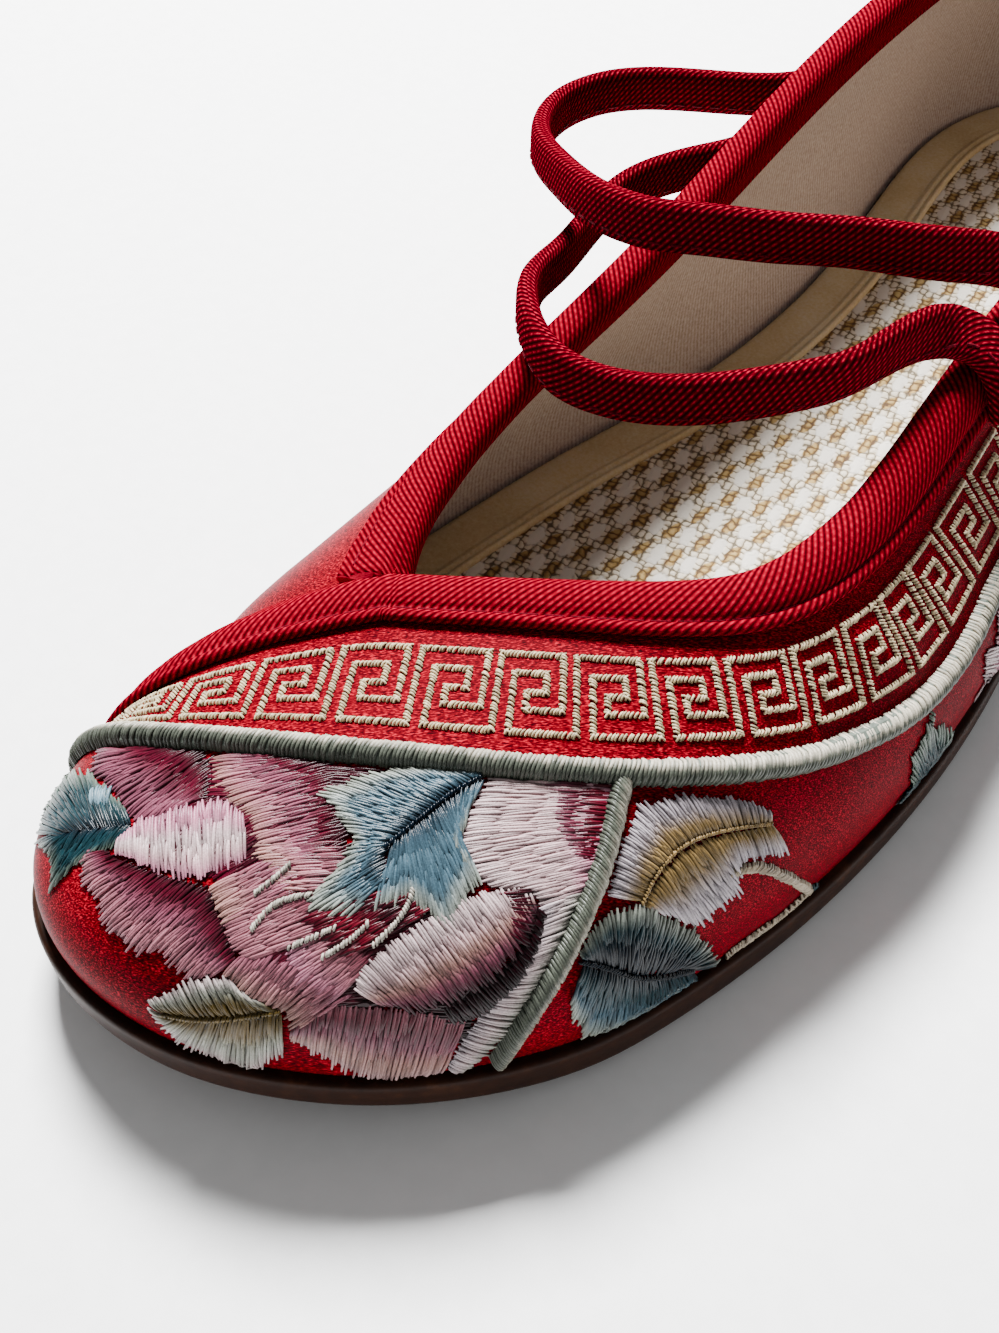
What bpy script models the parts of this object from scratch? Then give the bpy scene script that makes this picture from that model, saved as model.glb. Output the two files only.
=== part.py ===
"""Mary jane flat, left shoe: cloth upper with a bound edge on a moulded rubber sole, two slack straps.

Toe toward -Y, outer side toward +X, up +Z. Tables are in millimetres, measured back from the toe tip.
"""
from collections import namedtuple
from math import pi

import bpy
import numpy as np
from mathutils import Vector
from mathutils.bvhtree import BVHTree

for old in list(bpy.data.objects):
    bpy.data.objects.remove(old, do_unlink=True)

MM = 0.001

# Driving sizes, mm
WELT = 1.4
WALL = 2.0
GAP = 0.3
INSOLE_THICK = 2.4
TAPE_THICK = 1.1
TAPE_OUTER = 5.6
TAPE_INNER = 5.0
CORD_WIDTH = 2.8
CORD_HEIGHT = 1.3
STRAP_WIDTH = 6.6
STRAP_THICK = 3.0
STRAP_ROUND = 0.9
EDGE_ROUND = 1.2

# Mesh counts
UPPER_COLUMNS_PER_STATION = 3
UPPER_ROWS = 12
SOLE_STEPS = 46
PATH_STEP = 4.0

# Sole heights along the shoe: back from the toe tip, underside, top face
SoleHeight = namedtuple("SoleHeight", "back under top")
SOLE_HEIGHTS = [
    SoleHeight(0.0, 7.2, 13.2),
    SoleHeight(6.0, 6.0, 11.9),
    SoleHeight(14.0, 4.5, 10.4),
    SoleHeight(25.0, 2.6, 8.9),
    SoleHeight(39.0, 0.9, 7.6),
    SoleHeight(53.0, 0.0, 6.8),
    SoleHeight(78.0, 0.0, 6.5),
    SoleHeight(103.0, 0.0, 6.9),
    SoleHeight(117.0, 0.0, 7.5),
    SoleHeight(135.0, 1.5, 8.8),
    SoleHeight(157.0, 2.8, 10.8),
    SoleHeight(177.0, 1.5, 12.9),
    SoleHeight(191.0, 0.0, 14.1),
    SoleHeight(217.0, 0.0, 15.6),
    SoleHeight(253.0, 0.0, 16.2),
]

# One row per station round the shoe, from the inner throat corner by the toe, outer side and heel back.
# edge: outline of the sole. top: free edge of the upper. swell, rise: lower control of the wall's curve,
# out from the edge and up. reach, drop: upper control, out from the top and down.
Station = namedtuple("Station", "edge_x edge_y top_x top_y top_z swell rise reach drop")
STATIONS = [
    Station(-37.4, 28.0, -16.0, 55.0, 32.4, 2.6, 14.0, 15.0, 3.0),
    Station(-36.6, 17.4, -12.8, 56.6, 33.0, 2.6, 15.5, 19.0, 3.6),
    Station(-33.0, 9.0, -9.4, 58.3, 33.6, 2.6, 17.0, 24.0, 4.2),
    Station(-26.8, 3.6, -6.0, 60.1, 34.2, 2.6, 18.0, 28.0, 4.6),
    Station(-18.6, 0.7, -2.6, 61.9, 34.8, 2.6, 18.5, 31.0, 5.0),
    Station(-9.6, 0.4, 0.8, 63.7, 35.4, 2.6, 18.5, 32.5, 5.2),
    Station(0.0, 2.6, 4.4, 65.6, 36.0, 2.6, 18.5, 32.0, 5.4),
    Station(9.6, 7.6, 8.0, 67.6, 36.6, 2.6, 18.5, 30.5, 5.4),
    Station(18.4, 14.6, 11.6, 69.8, 37.1, 2.6, 18.0, 28.0, 5.6),
    Station(26.2, 23.6, 15.2, 72.4, 37.6, 2.6, 18.0, 24.5, 5.8),
    Station(32.6, 34.4, 18.6, 75.8, 38.0, 2.6, 17.5, 20.0, 6.2),
    Station(37.0, 47.5, 21.4, 80.6, 38.5, 2.8, 17.0, 15.5, 7.0),
    Station(40.6, 62.0, 23.2, 86.8, 39.0, 2.8, 16.5, 12.5, 8.4),
    Station(43.0, 78.5, 24.2, 94.0, 39.8, 3.0, 16.0, 10.5, 10.0),
    Station(43.8, 96.0, 24.4, 103.5, 41.2, 3.0, 15.5, 9.0, 12.0),
    Station(42.6, 115.0, 24.0, 116.5, 43.8, 3.2, 15.0, 7.5, 14.0),
    Station(39.6, 135.0, 23.6, 133.0, 47.0, 3.2, 14.5, 6.5, 16.0),
    Station(36.0, 156.0, 23.8, 152.0, 50.2, 3.2, 14.0, 5.5, 17.0),
    Station(32.6, 178.0, 24.0, 172.0, 53.2, 3.0, 14.0, 4.5, 17.0),
    Station(30.0, 200.0, 23.4, 193.0, 56.0, 2.8, 14.0, 4.0, 17.0),
    Station(27.4, 221.0, 21.6, 213.0, 58.6, 2.8, 14.0, 4.0, 17.0),
    Station(22.4, 238.0, 17.2, 230.0, 61.2, 2.8, 14.0, 4.0, 17.0),
    Station(12.8, 249.4, 9.6, 241.4, 63.2, 2.8, 15.0, 4.0, 17.0),
    Station(0.0, 253.0, 0.0, 245.0, 64.0, 2.8, 15.0, 4.0, 17.0),
    Station(-12.8, 249.4, -9.6, 241.4, 63.2, 2.8, 15.0, 4.0, 17.0),
    Station(-22.8, 238.0, -17.2, 230.0, 61.4, 2.8, 14.0, 4.0, 17.0),
    Station(-28.2, 220.0, -21.6, 213.0, 59.4, 2.8, 14.0, 3.5, 17.0),
    Station(-27.4, 198.0, -23.4, 193.0, 57.6, 2.8, 14.0, 3.0, 17.0),
    Station(-24.6, 176.0, -24.2, 172.0, 55.2, 3.0, 14.0, 2.5, 17.0),
    Station(-24.4, 154.0, -24.4, 152.0, 51.6, 3.2, 14.0, 2.5, 16.0),
    Station(-27.6, 132.0, -24.2, 133.0, 47.4, 3.2, 14.0, 3.0, 15.0),
    Station(-33.2, 111.0, -24.2, 115.0, 43.4, 3.0, 14.0, 4.0, 13.0),
    Station(-37.0, 91.0, -24.6, 97.0, 39.6, 2.8, 14.0, 5.5, 11.0),
    Station(-39.4, 72.0, -24.2, 81.0, 36.2, 2.6, 14.0, 7.5, 8.5),
    Station(-39.8, 55.5, -22.2, 69.0, 33.8, 2.6, 14.0, 10.0, 6.0),
    Station(-38.8, 41.0, -19.4, 61.2, 32.8, 2.6, 14.0, 12.5, 4.0),
]
COUNT = len(STATIONS)
HEEL = 23.0

# Cords: places on the shell that the middle line passes, snapped on to it
Place = namedtuple("Place", "x y z")
EDGING_PLACES = [
    Place(-38.4, 19.4, 12.2),
    Place(-36.8, 19.6, 18.6),
    Place(-31.8, 21.0, 23.0),
    Place(-24.5, 23.4, 27.5),
    Place(-18.6, 26.0, 29.2),
    Place(-8.1, 31.3, 31.1),
    Place(1.6, 36.8, 32.0),
    Place(11.0, 42.4, 32.4),
    Place(19.6, 48.6, 32.1),
    Place(27.4, 56.3, 30.7),
    Place(34.0, 67.2, 27.0),
    Place(37.8, 77.6, 24.2),
    Place(39.5, 87.3, 22.7),
    Place(39.6, 97.6, 22.7),
    Place(38.3, 110.0, 24.6),
    Place(36.3, 132.0, 27.6),
    Place(33.4, 158.0, 31.2),
    Place(30.6, 184.0, 34.6),
    Place(28.0, 208.0, 37.4),
    Place(22.0, 232.0, 40.2),
    Place(10.6, 246.6, 42.0),
    Place(0.4, 250.0, 42.6),
]
DIVIDER_PLACES = [
    Place(22.9, 47.2, 30.6),
    Place(25.4, 41.1, 27.8),
    Place(26.9, 32.6, 22.5),
    Place(26.4, 26.8, 16.8),
    Place(25.4, 24.0, 11.2),
]

# Straps: middle line from the outer collar over the opening to the inner quarter, and the direction of
# the strap's width at each place
StrapPlace = namedtuple("StrapPlace", "x y z wide_x wide_y wide_z")
FRONT_STRAP = [
    StrapPlace(29.7, 120.0, 41.0, 0.0, 1.0, 0.1),
    StrapPlace(27.8, 120.0, 45.6, 0.0, 1.0, 0.1),
    StrapPlace(24.2, 119.8, 48.6, 0.0, 1.0, 0.2),
    StrapPlace(20.0, 117.4, 50.0, 0.0, 0.8, 0.6),
    StrapPlace(17.4, 111.0, 50.6, 0.0, 0.3, 1.0),
    StrapPlace(15.4, 103.0, 50.4, 0.1, 0.1, 1.0),
    StrapPlace(11.6, 97.6, 49.6, 0.1, 0.1, 1.0),
    StrapPlace(4.4, 91.8, 47.8, 0.0, 0.1, 1.0),
    StrapPlace(-3.0, 88.2, 46.2, 0.0, 0.1, 1.0),
    StrapPlace(-9.6, 86.6, 45.4, 0.0, 0.1, 1.0),
    StrapPlace(-16.2, 86.6, 45.6, 0.0, 0.1, 1.0),
    StrapPlace(-23.0, 90.6, 46.0, 0.0, 0.0, 1.0),
    StrapPlace(-29.6, 99.0, 44.6, 0.0, 0.0, 1.0),
    StrapPlace(-33.0, 110.0, 42.2, 0.0, 0.0, 1.0),
    StrapPlace(-36.4, 122.0, 40.8, 0.0, 0.0, 1.0),
    StrapPlace(-37.2, 133.0, 41.0, 0.0, 0.0, 1.0),
    StrapPlace(-33.2, 142.4, 41.6, 0.0, 0.0, 1.0),
    StrapPlace(-29.2, 149.0, 42.0, 0.05, 0.0, 1.0),
    StrapPlace(-27.4, 156.0, 42.4, 0.1, 0.0, 1.0),
]
REAR_STRAP = [
    StrapPlace(29.0, 133.0, 43.2, 0.0, 1.0, 0.1),
    StrapPlace(27.2, 133.0, 48.0, 0.0, 1.0, 0.1),
    StrapPlace(24.0, 132.8, 51.4, 0.0, 1.0, 0.2),
    StrapPlace(19.8, 130.2, 53.4, 0.0, 0.8, 0.6),
    StrapPlace(13.6, 124.0, 55.0, 0.0, 0.3, 1.0),
    StrapPlace(5.4, 117.8, 56.2, 0.1, 0.1, 1.0),
    StrapPlace(-2.0, 112.4, 56.6, 0.1, 0.1, 1.0),
    StrapPlace(-10.4, 108.8, 56.2, 0.0, 0.1, 1.0),
    StrapPlace(-17.2, 107.2, 55.2, 0.0, 0.1, 1.0),
    StrapPlace(-26.8, 109.2, 53.4, 0.0, 0.1, 1.0),
    StrapPlace(-37.2, 115.4, 51.0, 0.0, 0.0, 1.0),
    StrapPlace(-47.0, 123.4, 48.8, 0.0, 0.0, 1.0),
    StrapPlace(-52.6, 135.0, 47.2, 0.0, 0.0, 1.0),
    StrapPlace(-51.4, 146.0, 46.4, 0.0, 0.0, 1.0),
    StrapPlace(-45.4, 153.8, 45.8, 0.0, 0.0, 1.0),
    StrapPlace(-37.4, 159.6, 45.4, 0.0, 0.0, 1.0),
    StrapPlace(-30.2, 166.0, 45.2, 0.0, 0.0, 1.0),
    StrapPlace(-27.2, 174.0, 45.2, 0.05, 0.0, 1.0),
]


def spline_slopes(values, closed):
    """Slopes of the cubic spline through equally spaced values."""
    n = len(values)
    matrix = np.zeros((n, n))
    right = np.zeros_like(values)
    for i in range(n):
        before, after = i - 1, i + 1
        matrix[i, i] = 4.0
        if closed:
            before, after = before % n, after % n
        if i == 0 and not closed:
            matrix[0, 0], matrix[0, 1] = 2.0, 1.0
            right[0] = 3.0 * (values[1] - values[0])
            continue
        if i == n - 1 and not closed:
            matrix[i, i], matrix[i, before] = 2.0, 1.0
            right[i] = 3.0 * (values[i] - values[before])
            continue
        matrix[i, before] += 1.0
        matrix[i, after] += 1.0
        right[i] = 3.0 * (values[after] - values[before])
    return np.linalg.solve(matrix, right)


def spline(values, closed=False):
    """Function of a row number that runs smoothly through the rows."""
    values = np.asarray(values, float)
    if values.ndim == 1:
        values = values[:, None]
    slopes = spline_slopes(values, closed)
    n = len(values)

    def at(row):
        row = np.atleast_1d(np.asarray(row, float))
        if closed:
            low = np.floor(row).astype(int)
            t = (row - low)[:, None]
            a, b = low % n, (low + 1) % n
        else:
            low = np.clip(np.floor(row).astype(int), 0, n - 2)
            t = (row - low)[:, None]
            a, b = low, low + 1
        h1 = t * t * (3.0 - 2.0 * t)
        return (values[a] * (1.0 - h1) + values[b] * h1
                + slopes[a] * (t * (1.0 - t) ** 2) - slopes[b] * (t * t * (1.0 - t)))

    return at


def unit(vectors):
    return vectors / np.linalg.norm(vectors, axis=-1, keepdims=True)


# Outline, free edge and wall shape as functions of the station number
outline = spline([(s.edge_x, s.edge_y) for s in STATIONS], closed=True)
topline = spline([(s.top_x, s.top_y, s.top_z) for s in STATIONS + STATIONS[:1]])
wall_shape = spline([(s.swell, s.rise, s.reach, s.drop) for s in STATIONS], closed=True)


def sole_under(back):
    return np.interp(back, FINE_BACK, FINE_UNDER)


def sole_top(back):
    return np.interp(back, FINE_BACK, FINE_TOP)


def monotone(xs, ys, fine):
    """Smooth heights without overshoot, so that flat spots stay flat."""
    xs, ys = np.asarray(xs), np.asarray(ys)
    step = np.diff(xs)
    rate = np.diff(ys) / step
    slope = np.zeros(len(xs))
    for i in range(1, len(xs) - 1):
        if rate[i - 1] * rate[i] > 0.0:
            w1 = 2.0 * step[i] + step[i - 1]
            w2 = step[i] + 2.0 * step[i - 1]
            slope[i] = (w1 + w2) / (w1 / rate[i - 1] + w2 / rate[i])
    slope[0], slope[-1] = rate[0], rate[-1]
    i = np.clip(np.searchsorted(xs, fine) - 1, 0, len(xs) - 2)
    t = (fine - xs[i]) / step[i]
    h1 = t * t * (3.0 - 2.0 * t)
    return (ys[i] * (1.0 - h1) + ys[i + 1] * h1
            + slope[i] * step[i] * t * (1.0 - t) ** 2 - slope[i + 1] * step[i] * t * t * (1.0 - t))


FINE_BACK = np.linspace(SOLE_HEIGHTS[0].back, SOLE_HEIGHTS[-1].back, 497)
FINE_UNDER = monotone([h.back for h in SOLE_HEIGHTS], [h.under for h in SOLE_HEIGHTS], FINE_BACK)
FINE_TOP = monotone([h.back for h in SOLE_HEIGHTS], [h.top for h in SOLE_HEIGHTS], FINE_BACK)


def outline_out(station):
    """Plan direction straight out of the outline."""
    along = unit(outline(station + 0.02) - outline(station - 0.02))
    return np.stack([along[:, 1], -along[:, 0]], axis=1)


def shell(station, height):
    """Outer face of the upper: height 0 at the sole, 1 at the free edge."""
    station = np.atleast_1d(np.asarray(station, float))
    t = np.broadcast_to(np.asarray(height, float), station.shape)[:, None]
    out = outline_out(station)
    foot_xy = outline(station) - WELT * out
    foot = np.column_stack([foot_xy, sole_top(foot_xy[:, 1]) + GAP])
    top = topline(station)
    swell, rise, reach, drop = wall_shape(station).T
    toward = unit((foot - top)[:, :2] + 12.0 * out)
    low = foot + np.column_stack([out * swell[:, None], rise])
    high = top + np.column_stack([toward * reach[:, None], -drop])
    return ((1 - t) ** 3 * foot + 3 * t * (1 - t) ** 2 * low
            + 3 * t * t * (1 - t) * high + t ** 3 * top)


def shell_out(station, height):
    """Unit direction straight out of the shell."""
    station = np.atleast_1d(np.asarray(station, float))
    height = np.broadcast_to(np.asarray(height, float), station.shape)
    lo, hi = np.clip(station - 0.04, 0, COUNT), np.clip(station + 0.04, 0, COUNT)
    along = shell(hi, height) - shell(lo, height)
    down, up = np.clip(height - 0.01, 0, 1), np.clip(height + 0.01, 0, 1)
    rising = shell(station, up) - shell(station, down)
    return unit(np.cross(along, rising))


# Closed bodies are collected first and placed together
Body = namedtuple("Body", "name points faces color rough")
bodies = []


def add_body(name, points, faces, color, rough):
    bodies.append(Body(name, np.asarray(points, float), faces, color, rough))


def ring_faces(count, a, b):
    """Quads between two rings of points that start at a and b."""
    return [(a + i, a + (i + 1) % count, b + (i + 1) % count, b + i) for i in range(count)]


# Outsole: moulded unit with rounded lower edge, toe spring, waist and low heel
def split_outline(inset):
    """Outline pulled in by inset, cut into inner and outer sides at the same steps back."""
    station = np.linspace(0, COUNT, 1200, endpoint=False)
    xy = outline(station) - inset * outline_out(station)
    tip, end = np.argmin(xy[:, 1]), np.argmax(xy[:, 1])
    outer = xy[tip:end + 1]
    inner = np.concatenate([xy[end:], xy[:tip + 1]])[::-1]
    turn = pi * np.arange(SOLE_STEPS + 1) / SOLE_STEPS
    share = 0.5 * (1.0 - np.cos(turn))
    back = xy[tip, 1] + (xy[end, 1] - xy[tip, 1]) * share
    return back, np.interp(back, inner[:, 1], inner[:, 0]), np.interp(back, outer[:, 1], outer[:, 0])


def sole_ring(inset, height):
    """Ring of points: tip, inner side to the heel, heel end, outer side to the tip."""
    back, inner, outer = split_outline(inset)
    xs = np.concatenate([inner, outer[-2:0:-1]])
    ys = np.concatenate([back, back[-2:0:-1]])
    return np.column_stack([xs, ys, height(ys)])


def plate(rings):
    """Closed plate from stacked rings, capped by strips across the shoe."""
    n = len(rings[0])
    faces = []
    for k in range(len(rings) - 1):
        faces += [tuple(reversed(f)) for f in ring_faces(n, k * n, (k + 1) * n)]
    top = (len(rings) - 1) * n
    for i in range(SOLE_STEPS):
        a, b = i, i + 1
        c, d = (n - b) % n, (n - a) % n
        quad = [a, b] + ([c] if c != b else []) + ([d] if d != a else [])
        faces.append(tuple(quad))
        faces.append(tuple(top + q for q in reversed(quad)))
    return np.concatenate(rings), faces


sole_rings = [
    sole_ring(1.5 * EDGE_ROUND, sole_under),
    sole_ring(0.4 * EDGE_ROUND, lambda y: sole_under(y) + 0.5 * EDGE_ROUND),
    sole_ring(0.0, lambda y: sole_under(y) + 1.6 * EDGE_ROUND),
    sole_ring(0.0, lambda y: sole_top(y) - 0.8),
    sole_ring(0.7, sole_top),
]
points, faces = plate(sole_rings)
add_body("outsole", points, faces, (0.045, 0.022, 0.012), 0.5)

# Insole: sock on a thin board, lying inside the upper's lower edge
inside = WELT + WALL + GAP
insole_rings = [
    sole_ring(inside + 0.3, lambda y: sole_top(y) + GAP),
    sole_ring(inside, lambda y: sole_top(y) + GAP + 0.5 * INSOLE_THICK),
    sole_ring(inside + 0.5, lambda y: sole_top(y) + GAP + INSOLE_THICK),
]
points, faces = plate(insole_rings)
add_body("insole", points, faces, (0.75, 0.66, 0.5), 0.85)

# Upper: one hollow shell, open at the collar and at the sole
columns = COUNT * UPPER_COLUMNS_PER_STATION
station_grid = np.arange(columns) / UPPER_COLUMNS_PER_STATION
outer_rows = []
inner_rows = []
for k in range(UPPER_ROWS + 1):
    level = k / UPPER_ROWS
    face = shell(station_grid, level)
    out = shell_out(station_grid, level)
    out[0] = unit(out[0] + shell_out(COUNT, level)[0])
    outer_rows.append(face)
    inner_rows.append(face - WALL * out)
points = np.concatenate(outer_rows + inner_rows)
faces = []
inner_start = (UPPER_ROWS + 1) * columns
for k in range(UPPER_ROWS):
    faces += ring_faces(columns, k * columns, (k + 1) * columns)
    faces += [tuple(reversed(f))
              for f in ring_faces(columns, inner_start + k * columns, inner_start + (k + 1) * columns)]
faces += [tuple(reversed(f)) for f in ring_faces(columns, 0, inner_start)]
faces += ring_faces(columns, UPPER_ROWS * columns, inner_start + UPPER_ROWS * columns)
add_body("upper", points, faces, (0.62, 0.012, 0.03), 0.35)
outer_count = (UPPER_ROWS + 1) * columns
shell_faces = [f for k in range(UPPER_ROWS) for f in ring_faces(columns, k * columns, (k + 1) * columns)]
shell_tree = BVHTree.FromPolygons([Vector(p) for p in points[:outer_count]], shell_faces)


def on_shell(point):
    """Nearest place on the shell and the direction straight out of it."""
    place, out, _, _ = shell_tree.find_nearest(Vector(point))
    return np.array(place), np.array(out)


def even(polyline, step):
    """Points along a polyline at even distances, both ends kept."""
    run = np.concatenate([[0], np.cumsum(np.linalg.norm(np.diff(polyline, axis=0), axis=1))])
    spots = np.linspace(0, run[-1], max(2, int(round(run[-1] / step)) + 1))
    return np.column_stack([np.interp(spots, run, polyline[:, i]) for i in range(3)])


def headings(path):
    return unit(np.gradient(path, axis=0))


def smooth_outs(path):
    """Directions out of the shell along a path, evened over neighbours."""
    outs = np.array([on_shell(p)[1] for p in path])
    for _ in range(2):
        padded = np.concatenate([outs[:1], outs, outs[-1:]])
        outs = unit(padded[:-2] + 2.0 * padded[1:-1] + padded[2:])
    return outs


# Bound edge of the vamp: up the inner side over the quarter, then round the free edge to the heel
TapeSpot = namedtuple("TapeSpot", "out down")
CAP = GAP + TAPE_THICK
BACK = WALL + GAP
TAPE_SECTION = [
    TapeSpot(CAP, TAPE_OUTER),
    TapeSpot(CAP, -0.6 * CAP),
    TapeSpot(GAP, -CAP),
    TapeSpot(-BACK - TAPE_THICK, -0.6 * CAP),
    TapeSpot(-BACK - TAPE_THICK, TAPE_INNER),
    TapeSpot(-BACK, TAPE_INNER),
    TapeSpot(-BACK, -GAP),
    TapeSpot(GAP, -GAP),
    TapeSpot(GAP, 0.5 * TAPE_OUTER),
    TapeSpot(GAP, TAPE_OUTER),
]
FLAT_SECTION = [0, 1, 2, 7, 8, 9]
BACK_SEAM_HEADING = np.array([-1.0, 0.0, 0.0])


def tape_ring(place, heading, out):
    """Section of the folded tape at one place of the bound edge."""
    down = unit(np.cross(heading, out))
    ring = []
    for spot in TAPE_SECTION:
        if spot.down <= 0.0:
            ring.append(place + out * spot.out + down * spot.down)
        else:
            near, near_out = on_shell(place + down * spot.down)
            ring.append(near + unit(near_out + out) * spot.out)
    return ring


def tape_body(path, folded_from, seam):
    """Tape along a path: flat on the shell before folded_from, folded after it, cut square at the seam."""
    outs = smooth_outs(path)
    along = headings(path)
    along[seam] = BACK_SEAM_HEADING
    outs[seam] = unit(outs[seam] * (0.0, 1.0, 1.0))
    rings = [tape_ring(p, h, o) for p, h, o in zip(path, along, outs)]
    for point in rings[seam]:
        point[0] = path[seam][0]
    points, starts = [], []
    for i, ring in enumerate(rings):
        starts.append(len(points))
        points += ring if i >= folded_from else [ring[k] for k in FLAT_SECTION]
    full = list(range(len(TAPE_SECTION)))
    faces = []
    for i in range(len(rings) - 1):
        use = full if i >= folded_from else FLAT_SECTION
        here = [starts[i] + (k if i >= folded_from else FLAT_SECTION.index(k)) for k in use]
        then = [starts[i + 1] + (k if i + 1 >= folded_from else FLAT_SECTION.index(k)) for k in use]
        for k in range(len(use)):
            j = (k + 1) % len(use)
            faces.append((here[k], here[j], then[j], then[k]))
    fold = starts[folded_from]
    if folded_from > 0:
        faces.append((0, 5, 4, 3, 2, 1))
        faces.append((fold + 2, fold + 7, fold + 6, fold + 3))
        faces.append((fold + 3, fold + 6, fold + 5, fold + 4))
    else:
        faces.append((0, 9, 8, 7, 2, 1))
        faces.append((2, 7, 6, 3))
        faces.append((3, 6, 5, 4))
    last = starts[-1]
    faces.append((last + 0, last + 1, last + 2, last + 7, last + 8, last + 9))
    faces.append((last + 2, last + 3, last + 6, last + 7))
    faces.append((last + 3, last + 4, last + 5, last + 6))
    return np.array(points), [tuple(reversed(f)) for f in faces]


TWILL = (0.5, 0.01, 0.022)
fine = np.linspace(0.0, 1.0, 120)
inner_side = even(shell(np.zeros(120), 0.03 + 0.97 * fine), PATH_STEP)
free_edge = even(topline((HEEL - 0.014) * fine), PATH_STEP)
vamp_edge = np.concatenate([inner_side[:-1], free_edge])
points, faces = tape_body(vamp_edge, len(inner_side), -1)
add_body("vamp_binding", points, faces, TWILL, 0.6)

collar = even(topline(HEEL + 0.014 + (COUNT - HEEL - 0.3) * fine), PATH_STEP)
points, faces = tape_body(collar, 0, 0)
add_body("quarter_binding", points, faces, TWILL, 0.6)


# Raised cords on the vamp
CordSpot = namedtuple("CordSpot", "across up")
CORD_SECTION = [
    CordSpot(-0.5, 0.0),
    CordSpot(0.5, 0.0),
    CordSpot(0.42, 0.55),
    CordSpot(0.18, 0.95),
    CordSpot(-0.18, 0.95),
    CordSpot(-0.42, 0.55),
]


def swept(rings):
    """Closed body through equal rings of points."""
    n = len(rings[0])
    faces = [tuple(range(n)), tuple(reversed(range((len(rings) - 1) * n, len(rings) * n)))]
    for i in range(len(rings) - 1):
        faces += [tuple(reversed(f)) for f in ring_faces(n, i * n, (i + 1) * n)]
    return np.concatenate(rings), faces


def cord_body(path):
    """Low rounded cord lying along a path on the shell."""
    outs = smooth_outs(path)
    rings = []
    for place, heading, out in zip(path, headings(path), outs):
        side = unit(np.cross(heading, out))
        ring = []
        for spot in CORD_SECTION:
            near, near_out = on_shell(place + side * spot.across * CORD_WIDTH)
            ring.append(near + unit(near_out + out) * (GAP + spot.up * CORD_HEIGHT))
        rings.append(np.array(ring))
    return swept(rings)


def cord_path(places, step):
    """Smooth line through the places, kept on the shell."""
    line = spline(places)(np.linspace(0, len(places) - 1, 12 * len(places)))
    return even(np.array([on_shell(p)[0] for p in line]), step)


CORD = (0.22, 0.27, 0.24)
points, faces = cord_body(cord_path(EDGING_PLACES, PATH_STEP))
add_body("edging_cord", points, faces, CORD, 0.5)
points, faces = cord_body(cord_path(DIVIDER_PLACES, 0.7 * PATH_STEP))
add_body("divider_cord", points, faces, CORD, 0.5)


# Straps: rolled tape, slack, sewn on outside the outer collar and on the inner quarter
def strap_body(places):
    rows = spline(places)(np.linspace(0, len(places) - 1, 200))
    path = even(rows[:, :3], PATH_STEP)
    reach = np.concatenate([[0], np.cumsum(np.linalg.norm(np.diff(rows[:, :3], axis=0), axis=1))])
    spots = np.linspace(0, reach[-1], len(path))
    wide = np.column_stack([np.interp(spots, reach, rows[:, i]) for i in (3, 4, 5)])
    half, flat = 0.5 * STRAP_WIDTH, 0.5 * STRAP_THICK
    section = [
        (half - STRAP_ROUND, flat), (STRAP_ROUND - half, flat), (-half, flat - STRAP_ROUND),
        (-half, STRAP_ROUND - flat), (STRAP_ROUND - half, -flat), (half - STRAP_ROUND, -flat),
        (half, STRAP_ROUND - flat), (half, flat - STRAP_ROUND),
    ]
    rings = []
    for place, heading, w in zip(path, headings(path), wide):
        w = unit(w - heading * np.dot(w, heading))
        face = np.cross(w, heading)
        rings.append(np.array([place + w * a + face * b for a, b in section]))
    return swept(rings)


points, faces = strap_body(REAR_STRAP)
add_body("strap_rear", points, faces, TWILL, 0.6)
points, faces = strap_body(FRONT_STRAP)
add_body("strap_front", points, faces, TWILL, 0.6)


# Seat the whole shoe on the floor with its box centred, then make the objects
def make_object(body, shift):
    mesh = bpy.data.meshes.new(body.name)
    mesh.from_pydata([tuple((p + shift) * MM) for p in body.points], [], body.faces)
    mesh.validate()
    mesh.update()
    obj = bpy.data.objects.new(body.name, mesh)
    bpy.context.scene.collection.objects.link(obj)
    material = bpy.data.materials.new(body.name + "_material")
    material.use_nodes = True
    shader = material.node_tree.nodes["Principled BSDF"]
    shader.inputs["Base Color"].default_value = (*body.color, 1.0)
    shader.inputs["Roughness"].default_value = body.rough
    mesh.materials.append(material)
    return obj


everything = np.concatenate([b.points for b in bodies])
low, high = everything.min(axis=0), everything.max(axis=0)
shift = np.array([-0.5 * (low[0] + high[0]), -0.5 * (low[1] + high[1]), -low[2]])
for body in bodies:
    make_object(body, shift)
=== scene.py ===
from collections import namedtuple
from math import cos, pi, radians, sin

import bpy
import numpy as np
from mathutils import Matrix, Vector
from mathutils.bvhtree import BVHTree


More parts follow.
